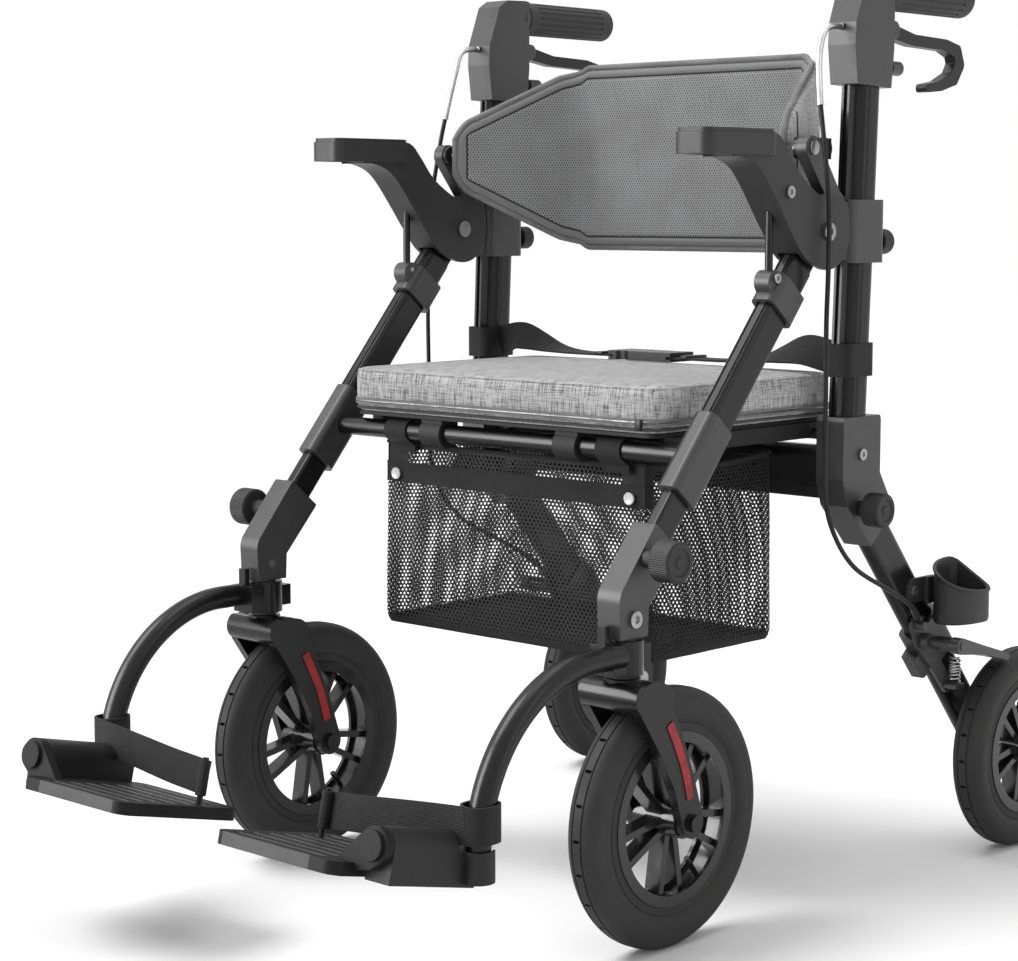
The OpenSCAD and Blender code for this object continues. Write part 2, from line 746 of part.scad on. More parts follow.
module rear_tyre_left() {
  translate([rear_x, axle_y, rear_r]) tyre(rear_r, rear_rim_r);
}

module rear_tyre_right() {
  mirror([1, 0, 0]) rear_tyre_left();
}

module rear_rim_left() {
  translate([rear_x, axle_y, rear_r]) rim(rear_rim_r, leg_x + 13 + gap - rear_x, tyre_w / 2 - 2.2 - gap, 12);
}

module rear_rim_right() {
  mirror([1, 0, 0]) rear_rim_left();
}

// Push handles and brakes

module handle_post_left() {
  color("#3a3a3c") on_upright(645) linear_extrude(height = 235) rrect(post_w, post_d, post_w / 2 - 1.2);
}

module handle_post_right() {
  mirror([1, 0, 0]) handle_post_left();
}

lever_y = 215;
lever_z = 888;
house_rear = 207;

// Handle head: socket for the post, stub for the grip, lugs for the lever
module handle_housing_left() {
  low = upright_top + gap;
  color("#303033") difference() {
    union() {
      difference() {
        xprism(side_x - 17, side_x + 17)
          polygon([[148, 800], [200, 800], [house_rear, 868], [house_rear, grip_z + 18], [200, grip_z + 19],
                   [170, grip_z + 18], [157, grip_z + 10], [140, 892], [139, 870]]);
        on_upright(low) translate([-50, -80, -60]) cube([100, 160, 60]);
      }
      ycyl(house_rear - 1, house_rear + grip_len - 20, side_x, grip_z, 22);
      ycyl(house_rear - 5, house_rear + 3, side_x, grip_z, grip_d - 2);
      for (s = [-1, 1])
        translate([s * 9.4, 0, 0]) xprism(side_x - 2.6, side_x + 2.6)
          taper2([lever_y - 16, lever_z], 10, [lever_y, lever_z], 9);
      xcyl(side_x - 9, side_x + 9, lever_y, lever_z, 6);
      ycyl(house_rear - 20, house_rear + 26, side_x, 850, 9);
      ycyl(house_rear + 14, house_rear + 32, side_x, 850, 15);
    }
    on_upright(low) translate([0, 0, -10]) linear_extrude(height = (880 - low) / cos(upright_lean) + 10.2)
      rrect(post_w + 0.1, post_d + 0.1, post_w / 2 - 1.2);
    ycyl(132, 150, side_x, 888, cable_d + 1);
  }
}

module handle_housing_right() {
  mirror([1, 0, 0]) handle_housing_left();
}

// Grip with finger flutes and a rounded end
module grip_left() {
  color("#37373a") translate([side_x, house_rear + 3 + fit, grip_z]) rotate([-90, 0, 0]) difference() {
    rotate_extrude() {
      square([grip_d / 2, grip_len - 9]);
      square([grip_d / 2 - 6, grip_len - 3]);
      translate([grip_d / 2 - 6, grip_len - 9]) circle(r = 6);
    }
    translate([0, 0, -1]) cylinder(d = 22.1, h = grip_len - 21);
    for (a = [0 : 20 : 340])
      rotate([0, 0, a]) translate([grip_d / 2 + 0.4, 0, 14]) cylinder(d = 3, h = grip_len - 38);
  }
}

module grip_right() {
  mirror([1, 0, 0]) grip_left();
}

// Looped brake lever below the grip
module brake_lever_left() {
  color("#262628") difference() {
    xrun(side_x - 6.5, side_x + 6.5,
      [[lever_y, lever_z, 7.5], [lever_y + 45, lever_z - 8, 6], [lever_y + 105, lever_z - 10, 6],
        [lever_y + 127, lever_z - 16, 7.5], [lever_y + 132, lever_z - 29, 8],
        [lever_y + 122, lever_z - 44, 7.5], [lever_y + 96, lever_z - 53, 5.5],
        [lever_y + 72, lever_z - 56, 4.5]]);
    xcyl(side_x - 20, side_x + 20, lever_y, lever_z, 6.1);
  }
}

module brake_lever_right() {
  mirror([1, 0, 0]) brake_lever_left();
}

// Foot of the brake over the tyre
module brake_shoe_left() {
  color("#303033") difference() {
    xrun(side_x + 14.2, side_x + 63, [[shoe_y, shoe_z, 9], [330, 233.5, 5], [379, 219.7, 4]]);
    xcyl(side_x, side_x + 70, shoe_y, shoe_z, 8.1);
    translate([side_x + 24, shoe_y - 14, shoe_z - 20]) cube([28, 26, 40]);
  }
}

module brake_shoe_right() {
  mirror([1, 0, 0]) brake_shoe_left();
}

// Footrests

// Ring on the caster socket and the bent tube in front of it
module footrest_tube_left() {
  bend_y = foot_y + foot_arc;
  bend_z = foot_top - foot_arc;
  color("#2f2f32") difference() {
    union() {
      translate([side_x, stem_y, socket_z + 3.3]) cylinder(d = 39, h = 32.7);
      translate([side_x - 15, stem_y - 30, socket_z + 5]) cube([30, 28, 29]);
      translate([side_x - 5, stem_y - 31, socket_z + 30]) cube([10, 6, 22]);
      translate([side_x - 9, stem_y + 14, socket_z + 8]) cube([18, 16, 22]);
      ycyl(bend_y - 0.1, stem_y - 14, foot_x, foot_top, foot_tube_d);
      translate([foot_x, bend_y, bend_z]) rotate([90, 0, 90]) rotate([0, 0, 90])
        rotate_extrude(angle = 90) translate([foot_arc, 0]) circle(d = foot_tube_d);
      translate([foot_x, foot_y, 122]) cylinder(d = foot_tube_d, h = bend_z - 122 + 0.1);
    }
    translate([side_x, stem_y, socket_z - 5]) cylinder(d = socket_d + 0.1, h = 60);
    translate([side_x, stem_y, block_z - 1]) cylinder(r = 24.5, h = 40);
  }
}

module footrest_tube_right() {
  mirror([1, 0, 0]) footrest_tube_left();
}

// The footrest's lower end leans toes up about the tube's foot
strap_post = [plate_x + 22, foot_y - 26.4];

module on_foot() {
  translate([0, foot_y, tilt_z]) rotate([-foot_tilt, 0, 0]) translate([0, -foot_y, -tilt_z]) children();
}

function foot_tilted(p) = [p[0],
  foot_y + (p[1] - foot_y) * cos(foot_tilt) + (p[2] - tilt_z) * sin(foot_tilt),
  tilt_z - (p[1] - foot_y) * sin(foot_tilt) + (p[2] - tilt_z) * cos(foot_tilt)];

// Rounded block that carries the footplate's hinge
module foot_block_left() {
  color("#2b2b2d") difference() {
    union() {
      on_foot() translate([0, foot_y, 0]) rotate([90, 0, 0]) linear_extrude(height = 105) difference() {
        union() {
          translate([hinge_x, hinge_z]) circle(r = 17);
          translate([hinge_x - 17, 115]) square([34, hinge_z - 115]);
        }
        translate([hinge_x - 18, 114]) square([5, 5]);
      }
      translate([foot_x, foot_y, 121]) cylinder(d = foot_tube_d + 7, h = 34);
    }
    translate([foot_x, foot_y, 121.9]) cylinder(d = foot_tube_d + 0.1, h = 40);
    translate([foot_x, foot_y + 1, 140]) cylinder(d = foot_tube_d + 2, h = 40);
    translate([foot_x - 60, foot_y - 20, 150]) cube([100, 50, 60]);
    translate([foot_x - 60, foot_y + 9, 90]) cube([100, 40, 90]);
    on_foot() ycyl(foot_y - 106, foot_y - 60, hinge_x, hinge_z, 10.1);
  }
}

module foot_block_right() {
  mirror([1, 0, 0]) foot_block_left();
}

// Ribbed plate with its hinge ear, pin and the strap's post
module footplate_left() {
  y0 = foot_y - 138.4;
  ear = foot_y - 105 - gap;
  color("#252527") on_foot() {
    difference() {
      translate([plate_x + plate_w / 2, y0 + plate_len / 2, plate_z]) linear_extrude(height = plate_t)
        rrect(plate_w, plate_len, 14);
      for (k = [0 : floor((plate_len - 28) / 9.5)])
        translate([plate_x + 14, y0 + 12 + 9.5 * k, plate_z + plate_t - 2]) cube([plate_w - 44, 4, 5]);
    }
    translate([0, ear, 0]) rotate([90, 0, 0]) linear_extrude(height = 9) union() {
      translate([hinge_x, hinge_z]) circle(r = 17);
      polygon([[plate_x + plate_w - 24, plate_z + 1], [hinge_x, plate_z + 9], [hinge_x + 12, hinge_z - 12],
               [hinge_x - 12, hinge_z + 12], [plate_x + plate_w - 24, plate_z + plate_t - 1]]);
    }
    ycyl(ear - 13, ear - 8, hinge_x, hinge_z, 27);
    ycyl(ear - 9, ear + 40, hinge_x, hinge_z, 10);
    translate([strap_post[0], strap_post[1], plate_z + plate_t - 1]) cylinder(d = 6, h = 46);
  }
}

module footplate_right() {
  mirror([1, 0, 0]) footplate_left();
}

// Webbing from a loop on the tube to the plate's post
strap_w = 34;
strap_z = 173;

module heel_strap_left() {
  tube_y = foot_y + 3.6;
  low = plate_z + plate_t + 8;
  color("#1c1c1e") {
    translate([foot_x, tube_y, strap_z - strap_w / 2]) linear_extrude(height = strap_w) difference() {
      rrect(foot_tube_d + 7, foot_tube_d + 14, 15);
      rrect(foot_tube_d + 2, foot_tube_d + 9, 12.5);
    }
    skin([[for (c = [[-1, 0], [1, 0], [1, 1], [-1, 1]])
        foot_tilted([strap_post[0], strap_post[1] + 4.2 + c[0], low + c[1] * strap_w])],
      [for (c = [[-1, 0], [1, 0], [1, 1], [-1, 1]])
        [foot_x - 2, tube_y - 17.7 + c[0] * 0.9, strap_z + (c[1] - 0.5) * strap_w]]]);
    on_foot() translate([strap_post[0], strap_post[1], low]) difference() {
      cylinder(r = 5.6, h = strap_w);
      translate([0, 0, -1]) cylinder(r = 3.1, h = strap_w + 2);
    }
  }
}

module heel_strap_right() {
  mirror([1, 0, 0]) heel_strap_left();
}

// Seat

seat_y0 = -106;
seat_len = 302;

// Rounded rectangle ring of n points a corner
function pill(hx, hy, r, n) = [for (c = [0 : 3]) for (k = [0 : n - 1])
  let (a = 90 * c + 90 * k / (n - 1), sx = c == 0 || c == 3 ? 1 : -1, sy = c < 2 ? 1 : -1)
  [sx * (hx - r) + r * cos(a), sy * (hy - r) + r * sin(a)]];

// Cushion sides in [inset, height]: drawn in at the seams, full between them, crowned on top
cushion_side = [[60, 0], [8, 0], [3, 1.5], [0.8, 6], [2.2, 10.5], [2.2, 12], [0.4, 17], [0, 27], [1.6, 37],
  [4.2, 42], [9, 45.2], [18, 47.4], [40, 49.4], [80, 50.6]];

module seat_cushion() {
  color("#c8cdcf") translate([0, seat_y0 + seat_len / 2, cushion_z]) skin([for (s = cushion_side)
    [for (p = pill(seat_hw - s[0], seat_len / 2 - s[0], max(20 - s[0] * 0.15, 5), 7))
      [p[0], p[1], s[1] * cushion_t / 51]]]);
}

module seat_board() {
  color("#232325") translate([0, seat_y0 + seat_len / 2, board_z])
    linear_extrude(height = cushion_z - board_z) rrect(2 * seat_hw - 14, seat_len - 14, 10);
}

// Rails with rear hooks under the board and clips that turn on the cross tube
module seat_rails() {
  color("#29292b") {
    sides() xprism(198, 214) {
      polygon([[-70, board_z - 14], [-66, board_z - 16], [152, board_z - 16], [153, 478], [165.5, 478],
               [165.5, 467], [173, 467], [173, 481], [169, board_z], [-70, board_z]]);
    }
    sides() difference() {
      xprism(80, 110) {
        translate([cross_y, cross_z]) circle(d = cross_d + 10);
        translate([cross_y - 10, cross_z]) square([24, board_z - cross_z]);
      }
      xcyl(70, 120, cross_y, cross_z, cross_d + 0.2);
    }
  }
}

// Backrest

// Plan of the pad: flat middle, a bend and a straight wing on each side, measured along u
back_mid = 220;
back_bend = 45;
back_turn = 65.7;
back_wing = 128.9;
back_arc = back_bend * back_turn * PI / 180;
back_flat = back_hw - back_bend * sin(back_turn) - back_wing * cos(back_turn);
back_u = back_flat + back_arc + back_wing;

// Point at length u along the pad, d behind its middle surface
function back_pt(u, d) = let (s = sign(u), v = abs(u), r = back_bend + d, y0 = back_mid - back_bend,
  t = min(v - back_flat, back_arc) / back_bend * 180 / PI, q = max(v - back_flat - back_arc, 0))
  v <= back_flat ? [u, back_mid + d]
  : [s * (back_flat + r * sin(t) + q * cos(t)), y0 + r * cos(t) - q * sin(t)];

// Half height of the long hexagon: full between the bends, narrow at both ends
function back_hh(u) = let (v = abs(u), f = (back_u - v) / (back_u - back_flat - back_arc / 2))
  back_h / 2 * min(1, 0.31 + 0.69 * f - 0.06 * max(0, 1 - abs(f - 1) * 6));
function back_soft(u) = let (q = min(1, (back_u - abs(u) + 1.5) / 26)) sqrt(1 - (1 - q) * (1 - q));
back_half = concat([for (k = [0, 1.5, 4, 8, 14, 22, 34, 60, 95]) back_u - k],
  [for (k = [0 : 8]) back_flat + back_arc * (1 - k / 8)], [back_flat * 0.66, back_flat * 0.33]);
back_stations = concat([for (u = back_half) -u], [0], [for (i = [len(back_half) - 1 : -1 : 0]) back_half[i]]);

// Superellipse sections: soft crown in the middle, drawn in to the piped edge
module backrest_pad() {
  n = 20;
  color("#a6acb0") translate([0, 0, back_z - 2]) skin([for (u = back_stations) [for (k = [0 : n - 1])
    let (c = cos(360 * k / n), w = sin(360 * k / n),
      p = back_pt(u, back_t / 2 * back_soft(u) * sign(c) * pow(abs(c), 0.8)))
    [p[0], p[1], (back_hh(u) - 6 * (1 - back_soft(u))) * sign(w) * pow(abs(w), 0.55)]]]);
}

// Flat strip bent round the pad's rear with an eye at each end
module backrest_bar() {
  rear = back_t / 2 + 0.3;
  low = back_z - 11;
  end = back_pt(back_flat + back_arc, rear);
  half = concat([for (k = [0 : 8]) back_flat + back_arc * k / 8], [back_flat + back_arc + 86]);
  line = concat([for (k = [9 : -1 : 0]) -half[k]], half);
  color("#232325") union() {
    translate([0, 0, low]) linear_extrude(height = 22)
      polygon(concat([for (u = line) back_pt(u, rear)],
                     [for (k = [len(line) - 1 : -1 : 0]) back_pt(line[k], rear + 4)]));
    sides() difference() {
      union() {
        xprism(eye_x, side_x - 7) run2([[back_y, back_z, 11], [124, back_z, 11]]);
        translate([eye_x - 22, 112, low + 0.5]) cube([30, 22, 21]);
      }
      xcyl(eye_x - 9, side_x, back_y, back_z, 8.1);
      translate([end[0], end[1], low - 1]) rotate([0, 0, -back_turn]) translate([-20, -79.5, 0])
        cube([200, 80, 30]);
    }
  }
}

uprights();
rear_castings();
rear_legs();
rear_beam();
arm_brackets();
brake_mounts();
brake_cables();
brake_springs();
cane_cup();
lap_belt();
belt_buckle();
basket();
rear_bolts();
front_struts();
front_inner_legs();
strut_clamps();
front_castings();
cross_tube();
armrests();
arm_links();
front_bolts();
seat_cushion();
seat_board();
seat_rails();
backrest_pad();
backrest_bar();
front_knob_left();
front_knob_right();
fork_left();
fork_right();
front_tyre_left();
front_tyre_right();
front_rim_left();
front_rim_right();
rear_tyre_left();
rear_tyre_right();
rear_rim_left();
rear_rim_right();
handle_post_left();
handle_post_right();
handle_housing_left();
handle_housing_right();
grip_left();
grip_right();
brake_lever_left();
brake_lever_right();
brake_shoe_left();
brake_shoe_right();
height_knob_left();
height_knob_right();
rear_knob_left();
rear_knob_right();
footrest_tube_left();
footrest_tube_right();
foot_block_left();
foot_block_right();
heel_strap_left();
heel_strap_right();
footplate_left();
footplate_right();
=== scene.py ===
# %% [markdown]
# # A rollator transport chair, dressed step by step
# The chair arrives as a set of exact solids: tubes, castings, wheels, handles. Here they get their finishes, and
# the soft parts, which a solid can only hint at, are modelled anew: the seat cushion, the backrest, the basket,
# the webbing and the cables. Everything is in metres and in one frame: the chair faces -Y, its left side is +X.

# %% Load the frame
import json
import math
import bpy
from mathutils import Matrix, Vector


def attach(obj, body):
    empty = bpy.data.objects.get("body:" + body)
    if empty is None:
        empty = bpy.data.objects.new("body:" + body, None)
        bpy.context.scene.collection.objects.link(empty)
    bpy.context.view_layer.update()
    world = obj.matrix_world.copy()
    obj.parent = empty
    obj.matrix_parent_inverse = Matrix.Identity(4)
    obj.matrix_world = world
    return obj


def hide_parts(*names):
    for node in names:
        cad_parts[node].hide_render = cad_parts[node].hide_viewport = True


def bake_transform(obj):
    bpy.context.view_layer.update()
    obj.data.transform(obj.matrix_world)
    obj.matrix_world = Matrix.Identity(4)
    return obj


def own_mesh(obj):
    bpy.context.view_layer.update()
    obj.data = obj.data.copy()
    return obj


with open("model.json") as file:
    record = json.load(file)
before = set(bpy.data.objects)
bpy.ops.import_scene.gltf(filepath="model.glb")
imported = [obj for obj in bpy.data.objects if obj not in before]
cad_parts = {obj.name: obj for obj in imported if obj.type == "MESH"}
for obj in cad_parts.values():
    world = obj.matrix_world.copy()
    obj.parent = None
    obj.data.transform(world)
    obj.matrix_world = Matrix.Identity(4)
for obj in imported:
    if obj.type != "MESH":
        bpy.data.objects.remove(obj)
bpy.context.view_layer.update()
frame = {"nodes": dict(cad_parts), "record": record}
SIDES = (("left", 1), ("right", -1))

# %% [markdown]
# ## Camera
# The photograph looks down a little from the front left of the chair. A long lens from about two and a half
# metres gives its calm perspective. The angles are yaw about Z and a small pitch below the horizon.

# %% Camera
lens = bpy.data.cameras.new("viewpoint")
lens.lens = 83.07
lens.sensor_width = 36
lens.clip_end = 40
viewpoint = bpy.data.objects.new("viewpoint", lens)
viewpoint.location = (1.653, -1.837, 0.705)
viewpoint.rotation_euler = (math.radians(90 - 6.58), 0, math.radians(43.25))
bpy.context.scene.collection.objects.link(viewpoint)
bpy.context.scene.camera = viewpoint
print("camera", tuple(viewpoint.location))

# %% [markdown]
# ## Helpers for modelling by operators
# Operators act on whatever is selected, so every step begins with nothing selected. Edit mode is entered only
# while a shape is changed. Places are baked into the mesh at the end, so that each object stays at the origin.

# %% Selection and modifiers
def only(piece):
    """Select one object alone and make it active."""
    if bpy.context.mode != "OBJECT":
        bpy.ops.object.mode_set(mode="OBJECT")
    bpy.ops.object.select_all(action="DESELECT")
    piece.select_set(True)
    bpy.context.view_layer.objects.active = piece
    return piece


def started(name):
    """Name the primitive that an operator just added and bake its place into its mesh."""
    piece = bpy.context.object
    piece.name = name
    piece.data.name = name
    bpy.ops.object.transform_apply(location=True, rotation=True, scale=True)
    return piece


def modified(piece, kind, **settings):
    """Add one modifier, set it and apply it."""
    only(piece)
    step = piece.modifiers.new(kind.title(), kind)
    for key, value in settings.items():
        setattr(step, key, value)
    bpy.ops.object.modifier_apply(modifier=step.name)
    return piece


def block(name, middle, size):
    """A plain box about its middle."""
    bpy.ops.object.select_all(action="DESELECT")
    bpy.ops.mesh.primitive_cube_add(size=1, location=middle, scale=size)
    return started(name)


def faced_out(piece):
    """Turn every face of a mesh outwards."""
    only(piece)
    bpy.ops.object.mode_set(mode="EDIT")
    bpy.ops.mesh.select_all(action="SELECT")
    bpy.ops.mesh.normals_make_consistent(inside=False)
    bpy.ops.object.mode_set(mode="OBJECT")
    return piece


def smooth(piece, degrees=40):
    only(piece)
    bpy.ops.object.shade_smooth_by_angle(angle=math.radians(degrees))
    return piece


def ring(radius, count=12):
    """A round section."""
    turn = [2 * math.pi * k / count for k in range(count)]
    return [(radius * math.cos(a), radius * math.sin(a)) for a in turn]


def flat(out, half, back=None):
    """A flat section, half its width to either side; it may be thicker outwards than at its back."""
    back = out if back is None else back
    return [(out, -half), (out, half), (-back, half), (-back, -half)]


def lofted(name, rings, closed=False, caps=2):
    """Bridge rings of points, in order, into one mesh. An open one gets a cap at its first end or at both ends."""
    rows, count = len(rings), len(rings[0])
    pairs = [(i, (i + 1) % rows) for i in range(rows if closed else rows - 1)]
    faces = [(i * count + k, i * count + (k + 1) % count, j * count + (k + 1) % count, j * count + k)
             for i, j in pairs for k in range(count)]
    ends = [tuple(range(count))[::-1], tuple(range((rows - 1) * count, rows * count))]
    mesh = bpy.data.meshes.new(name)
    mesh.from_pydata([tuple(p) for row in rings for p in row], [], faces + ends[:0 if closed else caps])
    piece = bpy.data.objects.new(name, mesh)
    bpy.context.scene.collection.objects.link(piece)
    return piece


STEEP = 0.95


def swept(name, route, section, closed=False):
    """Sweep a closed section along a route. The section is a list, or a rule that gives one for each station, of
    offsets along the two directions of the route's own frame. That frame is level, but on a route with steep
    stretches it is carried on from the first station, so that it never flips."""
    last = len(route) - 1
    courses, rings = [], []
    for i in range(len(route)):
        ahead = route[(i + 1) % len(route)] if closed else route[min(i + 1, last)]
        behind = route[i - 1] if closed else route[max(i - 1, 0)]
        courses.append((ahead - behind).normalized())
    steep = any(abs(along.z) > STEEP for along in courses)
    for i, along in enumerate(courses):
        if i == 0 or not steep:
            side = along.cross(Vector((0, 0, 1)) if abs(along.z) < STEEP else Vector((1, 0, 0)))
        side = (side - along * side.dot(along)).normalized()
        up = side.cross(along)
        shape = section(i) if callable(section) else section
        rings.append([route[i] + side * a + up * b for a, b in shape])
    return faced_out(lofted(name, rings, closed))


def curve_through(points, steps=8):
    """A smooth list of points that passes through the given ones."""
    points = [Vector(p) for p in points]
    out = []
    for i in range(len(points) - 1):
        a, b = points[max(i - 1, 0)], points[i]
        c, d = points[i + 1], points[min(i + 2, len(points) - 1)]
        for k in range(steps):
            t = k / steps
            out.append(0.5 * (2 * b + (c - a) * t + (2 * a - 5 * b + 4 * c - d) * t * t
                              + (3 * b - a - 3 * c + d) * t ** 3))
    return out + [points[-1]]

# %% [markdown]
# ## Brake cables
# Each cable leaves its handle housing in a small bright tube that turns down, runs inside the frame and swings out
# to the brake. A cable could be a curve with a bevel; here a round section is swept along a smooth list of points
# that follows the same stations as the solid, so that both agree. The bright tube and the ferrule at the lower end
# are pieces of their own. When the handle slides up, the upper end must go along while the lower end stays; here the
# cable and its bright tube stay fixed in place, and only the ferrule goes with the rear frame.

# %% Cables, their bright tubes and ferrules
CABLE = [(254, 137, 888), (254, 112, 884), (254, 101, 860), (260, 94, 820), (268, 90, 780), (279, 86, 712),
         (281, 84, 650), (281, 82, 590), (281, 83, 520), (281, 84, 430), (281, 97, 385), (281, 136, 342),
         (282, 200, 310), (281, 240, 290), (273, 270.4, 267)]
TUBE_END = 30
cable_parts = []
for side, s in SIDES:
    route = curve_through([Vector((s * x, y, z)) / 1000 for x, y, z in CABLE], 9)
    cable = smooth(swept("cable_" + side, route, ring(0.0025)))
    length = sum((route[i + 1] - route[i]).length for i in range(len(route) - 1))
    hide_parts("brake_cables")
    bright = smooth(swept("cable_tube_" + side, route[:TUBE_END + 1],
                          lambda i: ring(0.0032 if i % TUBE_END else 0.0038)))
    ferrule = smooth(swept("cable_ferrule_" + side, route[-9:-2], lambda i: ring(0.0040 if 1 < i < 6 else 0.0031)))
    cable_parts.append((cable, bright, ferrule))
    for piece in (cable, bright):
        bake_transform(piece)
    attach(ferrule, "rear_frame")
    print(cable.name, "length", round(length, 3))

# %% [markdown]
# ## Floor and light
# A white floor that runs out of sight and a pale surround stand for a studio sweep. A broad, even light like a
# hazy sun comes from the left of the picture: it lights the whole floor alike and throws the faint shadows. Three
# soft panels on the left, on the right and overhead draw long highlights on the black tubes; the strong one on the
# left works on mirror rays only, so that it doesn't bleach the cloth. The surround is white for the camera and for
# mirror rays, and dimmer as a lamp, so that pale cloth doesn't burn out.

# %% Floor, surround and lights
bpy.ops.mesh.primitive_plane_add(size=30, location=(0, 0, 0))
floor = started("studio_floor")
paint = bpy.data.materials.new("studio_white")
paint.use_nodes = True
for socket, value in (("Base Color", (0.93, 0.93, 0.93, 1)), ("Roughness", 0.9), ("Specular IOR Level", 0.1)):
    paint.node_tree.nodes["Principled BSDF"].inputs[socket].default_value = value
floor.data.materials.append(paint)

world = bpy.data.worlds.new("studio_air")
bpy.context.scene.world = world
world.use_nodes = True
tree = world.node_tree
tree.nodes.clear()
rays, seen, fill, either, ends, sharp, direct = [tree.nodes.new("ShaderNode" + kind) for kind in (
    "LightPath", "Background", "Background", "MixShader", "OutputWorld", "Math", "Math")]
seen.inputs["Color"].default_value = fill.inputs["Color"].default_value = (1, 1, 1, 1)
fill.inputs["Strength"].default_value = 0.55
sharp.operation = direct.operation = "MAXIMUM"
for source, target in (
        (rays.outputs["Is Glossy Ray"], sharp.inputs[0]), (rays.outputs["Is Transmission Ray"], sharp.inputs[1]),
        (rays.outputs["Is Camera Ray"], direct.inputs[0]), (sharp.outputs[0], direct.inputs[1]),
        (direct.outputs[0], either.inputs[0]), (fill.outputs[0], either.inputs[1]),
        (seen.outputs[0], either.inputs[2]), (either.outputs[0], ends.inputs["Surface"])):
    tree.links.new(source, target)


def lamp(name, kind, power, place, aim, **settings):
    """Add a lamp at a place, turned towards its aim."""
    light = bpy.data.lights.new(name, kind)
    light.energy = power
    for key, value in settings.items():
        setattr(light, key, value)
    item = bpy.data.objects.new(name, light)
    item.location = place
    item.rotation_euler = (Vector(aim) - Vector(place)).to_track_quat("-Z", "Y").to_euler()
    bpy.context.scene.collection.objects.link(item)
    return item


def panel(name, power, place, aim, size):
    return lamp(name, "AREA", power, place, aim, shape="RECTANGLE", size=size[0], size_y=size[1])


lamp("haze", "SUN", 2.3, (0, 0, 0), (0.65, 0.55, -1.5), angle=math.radians(32))
key = panel("key_panel", 160, (-1.5, -2.5, 1.3), (0, 0, 0.45), (1.8, 2.2))
key.visible_diffuse = False
panel("side_panel", 8, (3.0, 0.5, 1.4), (0, 0.1, 0.5), (0.35, 2.4))
panel("top_panel", 24, (0.2, 0.2, 3.2), (0, 0, 0), (2.4, 1.2))
bpy.context.scene.view_settings.view_transform = "Standard"
print("floor, surround, haze and three soft panels")

# %% [markdown]
# ## A small language for finishes
# Materials are sums of patterns, and sums read best as sums. `Value` wraps one shader socket, so that `a * 3 + b`
# builds the maths nodes by itself. `Finish` owns one material: `add` makes any node, and `wears` joins what varies
# over the surface to the shader. Patterns read object coordinates, which here are metres of the real chair.

# %% Value and Finish
class Value:
    """A shader socket that can be calculated with."""
    def __init__(self, finish, socket):
        self.finish, self.socket = finish, socket

    def does(self, operation, *terms):
        return self.finish.add("ShaderNodeMath", {"operation": operation}, dict(enumerate(terms)))

    def __add__(self, other): return self.does("ADD", self, other)
    def __sub__(self, other): return self.does("SUBTRACT", self, other)
    def __mul__(self, other): return self.does("MULTIPLY", self, other)
    def __truediv__(self, other): return self.does("DIVIDE", self, other)
    def __radd__(self, other): return self.does("ADD", other, self)
    def __rsub__(self, other): return self.does("SUBTRACT", other, self)
    def fold(self, step): return self.does("PINGPONG", self, step)
    def sine(self): return self.does("SINE", self)
    def size(self): return self.does("ABSOLUTE", self)
    def floor(self): return self.does("FLOOR", self)
    def least(self, other): return self.does("MINIMUM", self, other)
    def most(self, other): return self.does("MAXIMUM", self, other)

    def between(self, low, high):
        """0 below low, 1 above high, with a soft step between."""
        kind = {"interpolation_type": "SMOOTHSTEP", "clamp": True}
        return self.finish.add("ShaderNodeMapRange", kind, {"Value": self, "From Min": low, "From Max": high})


